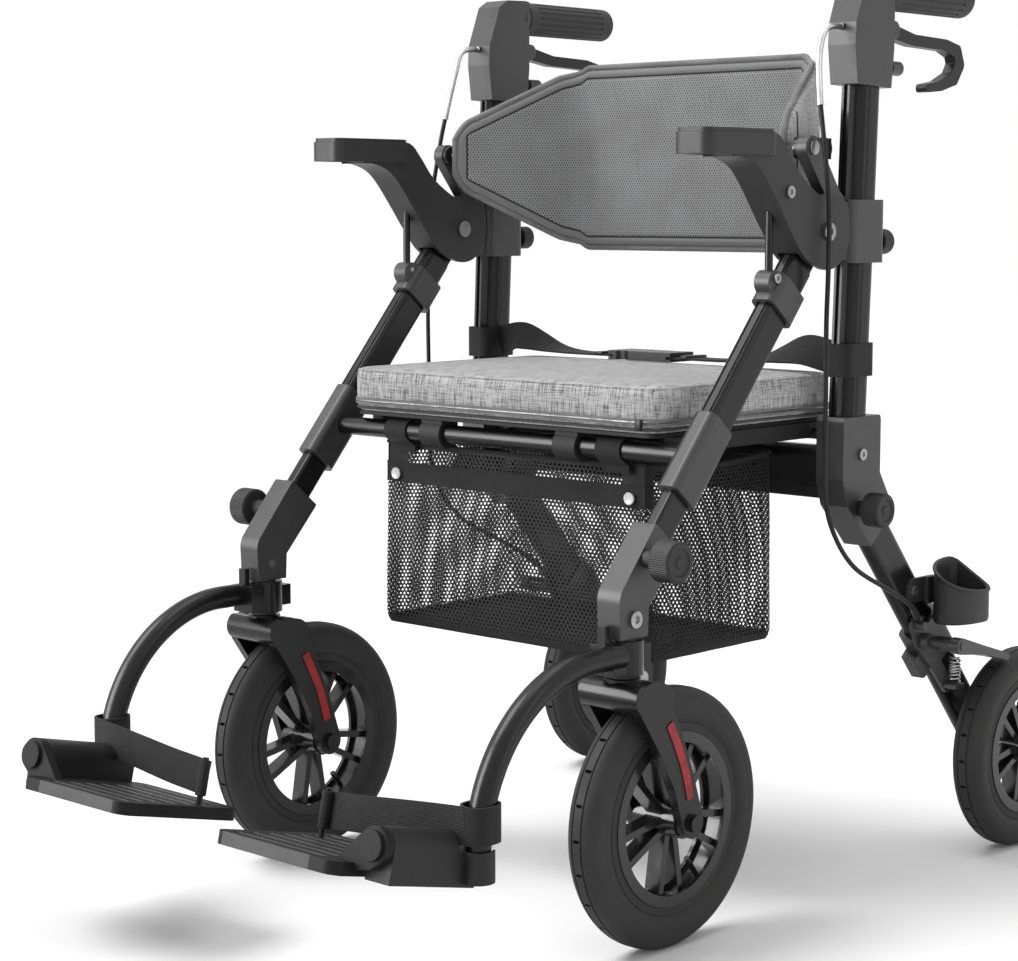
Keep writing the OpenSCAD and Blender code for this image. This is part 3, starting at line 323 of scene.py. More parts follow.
class Finish:
    """One material, built node by node."""
    def __init__(self, name, roughness=0.5, metallic=0.0, **constants):
        self.material = bpy.data.materials.new(name)
        self.material.use_nodes = True
        self.tree = self.material.node_tree
        self.shader = self.tree.nodes["Principled BSDF"]
        self.shader.inputs["Roughness"].default_value = roughness
        self.shader.inputs["Metallic"].default_value = metallic
        for key, value in constants.items():
            self.shader.inputs[key.replace("_", " ").title().replace("Ior", "IOR")].default_value = value

    def add(self, kind, settings, sockets, out=0):
        node = self.tree.nodes.new(kind)
        for key, value in settings.items():
            setattr(node, key, value)
        for key, value in sockets.items():
            if isinstance(value, Value):
                self.tree.links.new(value.socket, node.inputs[key])
            else:
                node.inputs[key].default_value = value
        return Value(self, node.outputs[out])

    def here(self):
        """Object coordinates, in metres."""
        return self.add("ShaderNodeTexCoord", {}, {}, "Object")

    def axes(self, here, count=3):
        return [self.add("ShaderNodeSeparateXYZ", {}, {0: here}, k) for k in range(count)]

    def cloth_place(self):
        """The piece's own UV map, in metres, as two values and one vector."""
        here = self.add("ShaderNodeUVMap", {"uv_map": "metres"}, {})
        return self.axes(here, 2) + [here]

    def mark(self, name):
        """A number stored on the mesh points."""
        return self.add("ShaderNodeAttribute", {"attribute_name": name}, {}, "Fac")

    def noise(self, here, scale, detail=2.0, stretch=None):
        if stretch:
            here = self.add("ShaderNodeVectorMath", {"operation": "MULTIPLY"}, {0: here, 1: stretch})
        return self.add("ShaderNodeTexNoise", {}, {"Vector": here, "Scale": scale, "Detail": detail})

    def cells(self, here, scale):
        return self.add("ShaderNodeTexVoronoi", {}, {"Vector": here, "Scale": scale})

    def mixed(self, share, low, high):
        """One colour where share is 0 and another where it is 1."""
        return self.add("ShaderNodeMix", {"data_type": "RGBA"}, {0: share, 6: low, 7: high}, 2)

    def wears(self, colour=None, roughness=None, height=None, depth=0.0004, strength=0.6, rounded=0.0, alpha=None):
        for socket, value in (("Base Color", colour), ("Roughness", roughness), ("Alpha", alpha)):
            if isinstance(value, Value):
                self.tree.links.new(value.socket, self.shader.inputs[socket])
            elif value is not None:
                self.shader.inputs[socket].default_value = value
        sockets = {"Strength": strength, "Distance": depth, "Height": height}
        if rounded:
            sockets["Normal"] = self.add("ShaderNodeBevel", {"samples": 4}, {"Radius": rounded})
        relief = self.add("ShaderNodeBump", {}, sockets)
        self.tree.links.new(relief.socket, self.shader.inputs["Normal"])
        return self.material


def tone(grey, warm=0.0):
    """A linear colour from one grey level, a little warmer or cooler."""
    return (grey * (1 + warm), grey, grey * (1 - warm), 1)

# %% [markdown]
# ## Finishes of the hard parts
# Powder-coated tube has a very fine orange peel and is a little shinier where hands and cloth rub it. Moulded
# nylon has a sand-like grain. Rubber is dull and dusty. Bare steel shows fine scratches. A bevel node in the normal
# rounds the drawn edges by a millimetre, so that they catch light as real edges do.

# %% Painted tube, moulded plastic, metal and rubber
def powder_coat(name, grey, gloss):
    f = Finish(name, specular_ior_level=0.22, coat_weight=0.12, coat_roughness=0.1)
    here = f.here()
    z = f.axes(here)[2]
    peel = f.noise(here, 900, 1)
    rub = f.noise(here, 9, 3).between(0.35, 0.72)
    dust = f.noise(here, 34, 4).between(0.5, 0.8) * (0.45 - z).between(0.0, 0.4)
    colour = f.mixed(dust * 0.35, f.mixed(rub, tone(grey), tone(grey * 1.3)), tone(grey * 2.6, 0.03))
    return f.wears(colour, gloss + rub * 0.10 + dust * 0.15, peel, 0.00012, 0.35, 0.0012)


def moulded(name, grey, gloss, grain=1400, shine=0.22):
    f = Finish(name, specular_ior_level=shine)
    here = f.here()
    sand = f.cells(here, grain)
    cloud = f.noise(here, 14, 3).between(0.3, 0.75)
    scuff = f.noise(here, 60, 4, (1, 6, 1)).between(0.62, 0.8)
    colour = f.mixed(scuff * 0.3, f.mixed(cloud, tone(grey), tone(grey * 1.35)), tone(grey * 3.0, 0.02))
    return f.wears(colour, gloss + cloud * 0.08 + scuff * 0.1, sand, 0.00016, 0.5, 0.0012)


def bare_metal(name, grey, gloss):
    f = Finish(name, metallic=1.0)
    here = f.here()
    scratch = f.noise(here, 420, 2, (1, 1, 7))
    stain = f.noise(here, 70, 3).between(0.35, 0.75)
    colour = f.mixed(stain, tone(grey), tone(grey * 0.7, 0.03))
    return f.wears(colour, gloss + stain * 0.15, scratch, 0.0001, 0.4, 0.0006)


def rubber(name, grey):
    f = Finish(name, specular_ior_level=0.25)
    here = f.here()
    pores = f.noise(here, 700, 2)
    dust = f.noise(here, 24, 4).between(0.4, 0.75)
    colour = f.mixed(dust * 0.5, tone(grey), tone(grey * 2.2, 0.04))
    return f.wears(colour, 0.62 + dust * 0.2, pores, 0.0003, 0.5, 0.0010)


def glossy(name, grey):
    f = Finish(name, specular_ior_level=0.3, coat_weight=0.25, coat_roughness=0.08)
    here = f.here()
    swirl = f.noise(here, 45, 3).between(0.45, 0.75)
    ripple = f.noise(here, 120, 1)
    colour = f.mixed(swirl, tone(grey), tone(grey * 1.6))
    return f.wears(colour, 0.2 + swirl * 0.14, ripple, 0.0002, 0.25, 0.0012)


def grip_rubber(name, grey):
    f = Finish(name, specular_ior_level=0.3)
    here = f.here()
    dots = f.cells(here, 460)
    grease = f.noise(here, 30, 3).between(0.4, 0.75)
    colour = f.mixed(grease, tone(grey), tone(grey * 0.72))
    return f.wears(colour, 0.78 - grease * 0.22, dots, 0.0004, 0.7, 0.0015)


RECIPES = [
    (powder_coat, "frame_black", 0.006, 0.26), (moulded, "casting_grey", 0.032, 0.34, 1400, 0.4),
    (moulded, "arm_black", 0.020, 0.40, 1400, 0.3), (moulded, "board_black", 0.014, 0.6, 700),
    (moulded, "knob_black", 0.020, 0.36), (moulded, "lever_black", 0.015, 0.36),
    (moulded, "plate_black", 0.013, 0.42, 900), (moulded, "buckle_black", 0.010, 0.33),
    (bare_metal, "steel", 0.36, 0.28), (bare_metal, "spring_steel", 0.66, 0.2), (bare_metal, "post_grey", 0.16, 0.38),
    (rubber, "tyre_black", 0.024), (moulded, "cable_black", 0.010, 0.4), (glossy, "rim_black", 0.010),
    (grip_rubber, "grip_grey", 0.045),
]
finishes = {name: make(name, *values) for make, name, *values in RECIPES}
print("finishes", ", ".join(finishes))

# %% [markdown]
# ## Giving every solid its finish
# The record says which material slot each node has, so the finishes go on by slot. Old materials are cleared.

# %% Put the finishes on
def dressed(piece, *materials):
    piece.data.materials.clear()
    for material in materials:
        piece.data.materials.append(material)
    return piece


for part in frame["record"]["subparts"]:
    if part["material_slot"] in finishes:
        dressed(frame["nodes"][part["node"]], finishes[part["material_slot"]])
print("dressed", sum(p["material_slot"] in finishes for p in frame["record"]["subparts"]), "solids")

# %% [markdown]
# ## Cloth finishes
# Cloth is told by its threads. The linen is a heather: light and dark threads in both directions, each with its own
# tone, and a fine over-under relief. The spacer mesh of the backrest has small diamond holes, painted dark as painted
# shade inside them. Webbing has fine ribs along it and slanting yarns across. The basket's net is open, so its holes
# are cut with alpha. Each piece carries a UV map in metres, so that threads keep their size on every curve.

# %% Linen, spacer mesh, webbing, net
PAD_SEAM = 0.0121  # how far the backrest's seam runs inside its edge


def threads(f, u, v, pitch):
    """Over-under relief of a plain weave and the tones of single threads."""
    across = (u * (math.pi / pitch)).sine() * (v * (math.pi / pitch)).sine()
    return [across] + [f.add("ShaderNodeTexWhiteNoise", {"noise_dimensions": "1D"}, {"W": (w / pitch).floor()})
                       for w in (u, v)]


def linen(name, light, dark, pitch=0.0011):
    f = Finish(name, roughness=0.9, sheen_weight=1.0, sheen_roughness=0.3, specular_ior_level=0.15)
    u, v, here = f.cloth_place()
    relief, line_u, line_v = threads(f, u, v, pitch)
    slub_u = f.noise(here, 1, 3, (700, 50, 1)).between(0.38, 0.68)
    slub_v = f.noise(here, 1, 3, (50, 700, 1)).between(0.38, 0.68)
    heather = (slub_u * 0.6 + slub_v * 0.4) * 0.75 + (line_u + line_v) * 0.12
    patch = f.noise(here, 11, 3).between(0.35, 0.7)
    colour = f.mixed(heather.between(0.1, 0.9), light, dark)
    colour = f.mixed(patch * 0.12, colour, dark)
    return f.wears(colour, 0.86 + patch * 0.1, relief + heather * 0.8, 0.0004, 0.6)


def spacer(name, light, dark, pitch=0.0034):
    f = Finish(name, roughness=0.85, sheen_weight=0.2, specular_ior_level=0.15)
    u, v, here = f.cloth_place()
    a, b = (u + v * 0.62) / pitch, (u - v * 0.62) / pitch
    hole = (a.fold(0.5) * b.fold(0.5) * 4).between(0.30, 0.55)
    inset = f.mark("inset")
    rim = 1 - inset.between(PAD_SEAM + 0.0007, PAD_SEAM + 0.0013)
    seam = rim.least(inset.between(PAD_SEAM - 0.0013, PAD_SEAM - 0.0007))
    fuzz = f.noise(here, 1500, 2)
    shade = f.noise(here, 16, 3).between(0.35, 0.7)
    # the holes take the dark colour: painted shade inside them, with a dip in the relief
    colour = f.mixed(hole, f.mixed(shade, light, tone(light[1] * 0.86)), dark)
    colour = f.mixed(seam, f.mixed(rim, colour, f.mixed(fuzz, tone(0.16), tone(0.25))), tone(0.03))
    return f.wears(colour, 0.84 + shade * 0.1, fuzz * 0.3 - hole * (1 - rim) - seam * 2, 0.0007, 0.7)


def webbing(name, grey, pitch=0.0016):
    f = Finish(name, roughness=0.7, sheen_weight=0.05, specular_ior_level=0.2)
    u, v, here = f.cloth_place()
    rib = (u / pitch).fold(0.5) * 2
    slant = ((u / pitch).floor() * 0.5 + v / (pitch * 1.6)).fold(0.5) * 2
    fade = f.noise(here, 30, 3).between(0.4, 0.75)
    colour = f.mixed(fade * 0.5 + slant * 0.25, tone(grey), tone(grey * 2.4))
    return f.wears(colour, 0.62 + fade * 0.2, rib + slant, 0.0005, 0.8)


def netting(name, grey, wide=0.0056, high=0.0080, radius=0.0016):
    """Round holes in staggered rows: two square grids, the second half a step off."""
    f = Finish(name, roughness=0.7, sheen_weight=0.05, specular_ior_level=0.2)
    u, v, here = f.cloth_place()
    far = []
    for step in (0.0, 0.5):
        a, b = (u / wide + step).fold(0.5) * wide, (v / high + step).fold(0.5) * high
        far.append(a * a + b * b)
    hole = 1 - far[0].least(far[1]).between((radius * 0.92) ** 2, (radius * 1.08) ** 2)
    twist = f.noise(here, 900, 2)
    fade = f.noise(here, 18, 3).between(0.35, 0.7)
    colour = f.mixed(fade, tone(grey), tone(grey * 1.7))
    solid = f.mark("solid").between(0.42, 0.58)
    return f.wears(colour, 0.66 + fade * 0.15, twist, 0.0005, 0.7, alpha=(1 - hole).most(solid))


def dull_cloth(name, grey):
    f = Finish(name, roughness=0.8, sheen_weight=0.05, specular_ior_level=0.2)
    u, v, here = f.cloth_place()
    relief, line_u, _ = threads(f, u, v, 0.0009)
    fade = f.noise(here, 20, 3).between(0.35, 0.7)
    colour = f.mixed(fade * 0.5 + line_u * 0.25, tone(grey), tone(grey * 1.9))
    return f.wears(colour, 0.72 + fade * 0.12, relief, 0.0003, 0.6)


cloths = {
    "linen": linen("linen_grey", (0.60, 0.60, 0.605, 1), (0.11, 0.11, 0.113, 1)),
    # the spacer's dark colour is the painted shade in its holes
    "spacer": spacer("spacer_grey", (0.32, 0.324, 0.328, 1), (0.03, 0.03, 0.031, 1)),
    "border": dull_cloth("border_grey", 0.15),
    "webbing": webbing("webbing_black", 0.009),
    "net": netting("mesh_black", 0.009),
    "band": dull_cloth("band_black", 0.008),
    "seam": dull_cloth("seam_dark", 0.06),
}


def mapped(piece, reading):
    """Store a UV map in metres, from a rule that gives u and v for a mesh point and its face's direction."""
    layer = piece.data.uv_layers.get("metres") or piece.data.uv_layers.new(name="metres")
    for face in piece.data.polygons:
        for k in face.loop_indices:
            point = piece.data.vertices[piece.data.loops[k].vertex_index].co
            layer.data[k].uv = reading(point, face.normal)
    return piece


def boxed(point, facing):
    """Lay cloth on a box: each face takes the two axes it runs along."""
    if abs(facing.z) > 0.7:
        return point.x, point.y
    return (point.x, point.z) if abs(facing.y) > abs(facing.x) else (point.y, point.z)


def marked(piece, name, reading):
    """Store one number per mesh point."""
    layer = piece.data.attributes.get(name) or piece.data.attributes.new(name, "FLOAT", "POINT")
    for vertex in piece.data.vertices:
        layer.data[vertex.index].value = reading(vertex.co)
    return piece


print("cloths", ", ".join(cloths))

# %% [markdown]
# ## Seat cushion
# The seat is a foam slab in a sewn linen cover. A box with bevelled corners is only the start: its mesh is remade
# evenly, blown up a little by cloth pressure so that the top crowns and the sides swell between the seams, and then
# the movement is capped, because foam holds a cover tighter than air does. The bottom stays on the board. A sewn
# ridge and a zip run round the cover and are wrapped onto the finished surface.

# %% Pressure helper and the cushion
def chosen(piece, kind, test):
    """Leave selected only the vertices, edges or faces that pass a test."""
    only(piece)
    bpy.ops.object.mode_set(mode="EDIT")
    bpy.ops.mesh.select_mode(type=kind)
    bpy.ops.mesh.select_all(action="DESELECT")
    bpy.ops.object.mode_set(mode="OBJECT")
    mesh = piece.data
    for item in {"VERT": mesh.vertices, "EDGE": mesh.edges, "FACE": mesh.polygons}[kind]:
        item.select = test(item)
    bpy.ops.object.mode_set(mode="EDIT")


def done():
    bpy.ops.object.mode_set(mode="OBJECT")


def blown(piece, pressure, cap, held):
    """Let cloth pressure shape a closed mesh for twenty frames; points that are held stay, others move up to cap."""
    rest = [vertex.co.copy() for vertex in piece.data.vertices]
    group = piece.vertex_groups.new(name="held")
    group.add([v.index for v in piece.data.vertices if held(v.co)], 1.0, "REPLACE")
    only(piece)
    cloth = piece.modifiers.new("Cloth", "CLOTH")
    cloth.settings.use_pressure = True
    cloth.settings.uniform_pressure_force = pressure
    cloth.settings.vertex_group_mass = "held"
    cloth.settings.effector_weights.gravity = 0
    for number in range(1, 21):
        bpy.context.scene.frame_set(number)
    bpy.ops.object.modifier_apply(modifier=cloth.name)
    bpy.context.scene.frame_set(1)
    for vertex, start in zip(piece.data.vertices, rest):
        move = vertex.co - start
        vertex.co = start + move * min(1, cap / max(move.length, 1e-9))
    piece.vertex_groups.clear()
    return piece


def edges_along(piece, axis):
    """Leave selected the edges that run along one axis."""
    spots = [vertex.co[axis] for vertex in piece.data.vertices]
    runs = {e.index for e in piece.data.edges if abs(spots[e.vertices[0]] - spots[e.vertices[1]]) > 0.002}
    chosen(piece, "EDGE", lambda e: e.index in runs)


CUSHION_X, CUSHION_DEEP, CUSHION_Y, CORNER = 0.215, 0.149, 0.045, 0.020
cushion = block("cushion", (0, CUSHION_Y, 0.5125), (2 * CUSHION_X, 2 * CUSHION_DEEP, 0.047))
edges_along(cushion, 2)
bpy.ops.mesh.bevel(offset=CORNER, segments=6, affect="EDGES")
done()
chosen(cushion, "FACE", lambda p: abs(p.normal.z) > 0.9)
bpy.ops.mesh.bevel(offset=0.005, segments=3, affect="EDGES")
done()
modified(cushion, "REMESH", mode="VOXEL", voxel_size=0.0055)


def sewn(p):
    """The bottom and the sewn top edge keep their place."""
    return p.z < 0.4905 or (p.z > 0.528 and (abs(p.x) > 0.204 or abs(p.y - CUSHION_Y) > 0.138))


blown(cushion, 4, 0.005, sewn)
modified(cushion, "SMOOTH", factor=0.5, iterations=2)
modified(cushion, "SUBSURF", levels=1)
smooth(cushion, 60)
mapped(cushion, boxed)
dressed(cushion, cloths["linen"])
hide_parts("seat_cushion")
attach(cushion, "seat")
print("cushion", len(cushion.data.polygons), "faces")


def outline(hx, hy, cy, z, r, steps=6, along=(60, 36)):
    """Points round a rectangle with rounded corners: the same number on every outline."""
    corners = ((1, 1), (-1, 1), (-1, -1), (1, -1))

    def spot(k, a):
        x, y = corners[k]
        return Vector((x * (hx - r) + r * math.cos(a), cy + y * (hy - r) + r * math.sin(a), z))

    line = []
    for k in range(4):
        line += [spot(k, math.pi / 2 * (k + i / steps)) for i in range(steps + 1)]
        start, end = line[-1], spot((k + 1) % 4, math.pi / 2 * (k + 1))
        line += [start.lerp(end, j / along[k % 2]) for j in range(1, along[k % 2])]
    return line


def onto(target, line, gap):
    """Move the points of a line onto a finished surface, a small gap above it."""
    found = [target.closest_point_on_mesh(p) for p in line]
    return [spot + facing * gap for _, spot, facing, _ in found]


def trimmed(piece, cover, degrees=60):
    """Smooth a piece, map it in metres and give it its cover."""
    return dressed(mapped(smooth(piece, degrees), boxed), cover)


CUSHION_TRIMS = [
    ("cushion_ridge", 0.000, 0.5350, ring(0.0009, 8), 0.0002, cloths["linen"]),
    ("cushion_zip_tape", 0.003, 0.5000, flat(0.0012, 0.0032, 0.0006), 0.0006, cloths["border"]),
    ("cushion_zip", 0.004, 0.5000, lambda i: ring(0.0012 + 0.0003 * (i % 2), 6), 0.0010, finishes["post_grey"]),
    ("cushion_hem", 0.002, 0.4915, ring(0.0017, 8), 0.0006, cloths["seam"]),
]
for name, grow, z, section, gap, cover in CUSHION_TRIMS:
    line = onto(cushion, outline(CUSHION_X + grow, CUSHION_DEEP + grow, CUSHION_Y, z, CORNER), gap)
    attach(trimmed(swept(name, line, section, closed=True), cover), "seat")
pull = block("cushion_zip_pull", (0.199, -0.1092, 0.4985), (0.008, 0.0042, 0.011))
modified(pull, "BEVEL", width=0.0012, segments=2)
dressed(smooth(pull, 40), finishes["buckle_black"])
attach(pull, "seat")
print("cushion trims", [trim[0] for trim in CUSHION_TRIMS])

# %% [markdown]
# ## Backrest
# The pad is sewn flat and then bent round a bar: a long hexagon, full height in the middle, narrow at the ends. So it
# is also made flat here. A grid panel is trimmed to the outline, thickened, blown up and only then laid along the
# bent plan: a flat middle, two bends and two straight wings. While it is still flat, each point keeps its place as
# UV and its distance to the outline, which the finish uses for the border and the seam.

# %% Backrest pad and piping
BEND, TURN, WING, MID, PAD_Z = 0.045, math.radians(65.7), 0.1289, 0.220, 0.764
FLAT = 0.230 - BEND * math.sin(TURN) - WING * math.cos(TURN)
ARC = BEND * TURN
REACH = FLAT + ARC + WING


def along_pad(u, d, z):
    """Where a point of the flat pad goes: u along it, d behind its middle surface."""
    s, v, r = math.copysign(1, u), abs(u), BEND + d
    if v <= FLAT:
        return Vector((u, MID + d, z))
    t, q = min(v - FLAT, ARC) / BEND, max(v - FLAT - ARC, 0)
    return Vector((s * (FLAT + r * math.sin(t) + q * math.cos(t)), MID - BEND + r * math.cos(t) - q * math.sin(t), z))


def pad_height(u):
    f = (REACH - abs(u)) / (REACH - FLAT - ARC / 2)
    tip = max(0, 1 - (REACH - abs(u)) / 0.018)
    return 0.102 * min(1, 0.31 + 0.69 * f - 0.06 * max(0, 1 - abs(f - 1) * 6)) - 0.012 * tip * tip


bpy.ops.mesh.primitive_grid_add(x_subdivisions=150, y_subdivisions=44, size=2, rotation=(math.pi / 2, 0, 0))
pad = started("backrest_cover")
for vertex in pad.data.vertices:
    u = vertex.co.x * (REACH - 0.001)
    vertex.co = (u, 0, vertex.co.z * (pad_height(u) - 0.002))
modified(pad, "SOLIDIFY", thickness=0.013, offset=0)
modified(pad, "REMESH", mode="VOXEL", voxel_size=0.0042)


def inset_of(p):
    return min(pad_height(p.x) - abs(p.z), REACH - abs(p.x))


blown(pad, 3, 0.0045, lambda p: inset_of(p) < 0.003 or 0.010 < inset_of(p) < 0.0135)
modified(pad, "SMOOTH", factor=0.5, iterations=4)
modified(pad, "SUBSURF", levels=1)
marked(pad, "inset", inset_of)
mapped(pad, lambda p, facing: (p.x, p.z))
rear_faces = {face.index for face in pad.data.polygons if face.normal.y > 0.15}
for vertex in pad.data.vertices:
    p = vertex.co
    dent = 0.0016 * math.exp(-((inset_of(p) - PAD_SEAM) / 0.0016) ** 2) * (1 if p.y < 0 else 0)
    vertex.co = along_pad(p.x, p.y + dent, PAD_Z + p.z)
dressed(pad, cloths["spacer"], cloths["linen"])
for face in pad.data.polygons:
    face.material_index = 1 if face.index in rear_faces else 0
smooth(pad, 60)
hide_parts("backrest_pad")
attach(pad, "backrest")

edge = [(REACH * k / 90, pad_height(REACH * k / 90)) for k in range(91)]
line = [(-u, h) for u, h in reversed(edge[1:])] + edge
line = line + [(u, -h) for u, h in reversed(line)]
piping = swept("backrest_piping", [along_pad(u, 0, PAD_Z + h) for u, h in line], ring(0.0036, 10), closed=True)
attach(trimmed(piping, cloths["border"]), "backrest")
for side, s in SIDES:
    u = s * (REACH - 0.030)
    spine = [along_pad(u, 0.012, PAD_Z + k / 20 * 0.9 * pad_height(u)) for k in range(-20, 21)]
    seam = swept("wing_seam_" + side, onto(pad, spine, 0.0003), ring(0.0011, 6))
    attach(trimmed(seam, cloths["seam"]), "backrest")
print("backrest", len(pad.data.polygons), "faces, piping and two seams")

# %% [markdown]
# ## Basket
# The basket hangs from the cross tube in front and from the rear beam, so its rim dips between the loops and its
# walls belly out a little. It is lofted from rings of points, from the floor's middle up to the rim. One layer of
# net is enough; a number on each point says where the cloth is solid: in the band, along the rim and round the
# floor. The bag goes with the rear frame and its front loops with the front frame.

# %% Basket, hems, snaps and loops
LEVELS = [258, 262, 268, 274.5, 275.5, 290, 306, 322, 338, 354, 370, 386, 400, 412.5, 413.5, 424, 434.5, 435.5, 446,
          450.5, 451.5, 455]
BAG_X, BAG_Y, BAG_MID, BAG_FLOOR, BAG_HIGH = 0.188, 0.1035, 0.0225, 0.258, 0.197
FRONT, SNAP_X, LOOP_X = -0.07, 0.165, 0.150


def bag_ring(z):
    """The walls' outline at one height, bellied out and rippled; towards the rim it dips between the corners."""
    t = (z - BAG_FLOOR) / BAG_HIGH
    tuck = 0.003 * max(0, 1 - t / 0.06) ** 2
    points = outline(BAG_X - tuck, BAG_Y - tuck, BAG_MID, z, 0.010)
    for p in points:
        away = Vector((p.x / BAG_X, (p.y - BAG_MID) / BAG_Y, 0))
        axis = 0 if abs(away.x) > abs(away.y) else 1
        run = away[1 - axis]
        swell = 0.004 * math.sin(math.pi * min(1, t * 1.1)) * (1 - run ** 4) - 0.004 * t
        ripple = 0.0005 * math.sin(run * 11 + z * 40) * (1 - abs(t - 0.5))
        p[axis] += math.copysign(1, away[axis]) * (swell + ripple)
        p.z -= (0.002 if axis else 0.007) * (1 - run * run) * max(0, t - 0.45) / 0.55
    return points


rings = [bag_ring(level / 1000) for level in LEVELS]
floor_rings = [[Vector((p.x * k, BAG_MID + (p.y - BAG_MID) * k, BAG_FLOOR - 0.004 * (1 - k))) for p in rings[0]]
               for k in (0.02, 0.25, 0.5, 0.75, 0.9)]
stack = floor_rings + rings
bag = lofted("basket_net", stack, caps=1)
solid = bag.data.attributes.new("solid", "FLOAT", "POINT")
spots = [(level, p) for level, row in zip([0] * len(floor_rings) + LEVELS, stack) for p in row]
for number, (level, p) in zip(solid.data, spots):
    tab = abs(p.x) > 0.153 and p.z > 0.415
    on_front = p.y < FRONT and (tab or 413 < level < 435)
    number.value = 1.0 if on_front or level < 263 or level > 451 else 0.0
trimmed(bag, cloths["net"])
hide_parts("basket")
rim = swept("basket_rim", [p + Vector((0, 0, 0.001)) for p in rings[-1]], ring(0.0022, 8), closed=True)
front = sorted((p for p in bag_ring(0.424) if p.y < FRONT), key=lambda p: p.x)
band = swept("basket_band", front, flat(0.0011, 0.011, 0.0007))
trims = [trimmed(rim, cloths["band"]), trimmed(band, cloths["band"], 40)]
f = Finish("snap_white", coat_weight=0.2)
grime = f.noise(f.here(), 160, 3).between(0.4, 0.75)
snap_white = f.wears(f.mixed(grime, tone(0.72), tone(0.55, 0.03)), 0.3 + grime * 0.2, grime, 0.0002, 0.4)
for k, x in enumerate((-SNAP_X, SNAP_X)):
    bpy.ops.mesh.primitive_cylinder_add(vertices=24, radius=0.0062, depth=0.0022, location=(x, -0.0828, 0.422),
                                        rotation=(math.pi / 2, 0, 0))
    snap = started("basket_snap_%d" % k)
    chosen(snap, "FACE", lambda p: p.normal.y < -0.9)
    bpy.ops.mesh.inset(thickness=0.0022)
    bpy.ops.transform.translate(value=(0, 0.0007, 0))
    done()
    modified(snap, "BEVEL", width=0.0004, segments=2, limit_method="ANGLE")
    trims.append(dressed(smooth(snap, 40), snap_white))
for k, x in enumerate((-LOOP_X, LOOP_X)):
    sag = [Vector((x, 0.118 + 0.0315 * t / 8, 0.4515 - 0.003 * math.sin(math.pi * t / 8))) for t in range(9)]
    back = swept("basket_rear_strap_%d" % k, sag, flat(0.016, 0.0009))
    trims.append(trimmed(back, cloths["webbing"], 40))
for trim in trims + [bag]:
    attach(trim, "rear_frame")
    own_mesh(trim)
for k, x in enumerate((-LOOP_X, LOOP_X)):
    turn = [math.radians(-58 + 296 * t / 28) for t in range(29)]
    hook = [Vector((x, -0.0800, 0.448)), Vector((x, -0.0805, 0.455))]
    hook += [Vector((x, -0.08756 + 0.0113 * math.cos(a), 0.470 + 0.0113 * math.sin(a))) for a in turn]
    hook += [Vector((x, -0.0838, 0.4545)), Vector((x, -0.0828, 0.446))]
    loop = swept("basket_loop_%d" % k, hook, flat(0.0008, 0.016))
    dressed(mapped(smooth(loop, 50), lambda p, n: (p.x, p.z + p.y)), cloths["webbing"])
    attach(loop, "front_frame")

# %% [markdown]
# ## Lap belt and heel straps
# Webbing is a flat ribbon: wide, thin and stiff across, so it turns on edge where it goes round a tube and lies flat
# on the seat. Each strap is a thin section swept along its line, turned by a roll at each station. The loops round
# the tubes are closed sweeps, joined to their strap. Their measures are in millimetres.

# %% Ribbons
WEBBING = 34


def ribbon(name, stations, thick, steps=8):
    """Sweep webbing; the stations are points with a roll in degrees, 0 lying flat and 90 on edge."""
    route = curve_through([Vector(p[:3]) / 1000 for p in stations], steps)
    rolls = [p[0] for p in curve_through([(p[3], 0, 0) for p in stations], steps)]
    w, t = WEBBING / 2000, thick / 2000
    half = [(w, -t), (w, t), (w * 0.94, t * 1.25), (-w * 0.94, t * 1.25)]
    shape = half + [(-a, -b) for a, b in half]

    def section(i):
        c, s = math.cos(math.radians(rolls[i])), math.sin(math.radians(rolls[i]))
        return [(a * c - b * s, a * s + b * c) for a, b in shape]

    piece = swept(name, route, section)
    far = [0.0]
    for i in range(len(route) - 1):
        far.append(far[-1] + (route[i + 1] - route[i]).length)
    layer = piece.data.uv_layers.new(name="metres")
    for loop in piece.data.loops:
        row, k = divmod(loop.vertex_index, len(shape))
        layer.data[loop.index].uv = (shape[k][0], far[row])
    return piece


def collar(name, points, thick):
    """Webbing on edge round a closed line."""
    piece = swept(name, points, flat(thick / 2000, WEBBING / 2000), closed=True)
    return mapped(piece, lambda p, n: (p.z, p.x + p.y))


def joined(first, *others):
    only(first)
    for other in others:
        other.select_set(True)
    bpy.ops.object.join()
    return first


# %% Lap belt
BELT = [(237.4, 158, 552, 90), (224, 157, 556, 82), (202, 154, 560, 60), (174, 150, 555, 30), (142, 148, 548, 8),
        (104, 147, 545, 0), (39, 147, 545, 0)]
for side, s in SIDES:
    strap = ribbon("lap_belt_" + side, [(s * x, y, z, s * roll) for x, y, z, roll in BELT], 2)
    around = [p + Vector((s * 0.254, 0, 0)) for p in outline(0.0155, 0.0255, 0.1592, 0.552, 0.009, 5, (6, 10))]
    strap = joined(strap, collar("lap_belt_loop_" + side, around, 2))
    dressed(smooth(strap, 50), cloths["webbing"])
    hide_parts("lap_belt")
    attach(strap, "rear_frame")
    keeper = block("belt_keeper_" + side, (s * 0.060, 0.147, 0.5466), (0.010, 0.036, 0.0042))
    modified(keeper, "BEVEL", width=0.0012, segments=3)
    dressed(smooth(keeper, 40), finishes["buckle_black"])
    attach(keeper, "rear_frame")
print("lap belt and keepers")

# %% Heel straps
TILT, FOOT_Y, FOOT_Z = math.radians(13), -0.398, 0.130
HEEL = [(261, -412.1, 173, 0), (226, -413.6, 170.5, 2), (180, -415.6, 166.5, 6), (140, -416.4, 162.5, 10),
        (104, -414.8, 159, 13), (87, -414.3, 157.4, 13)]


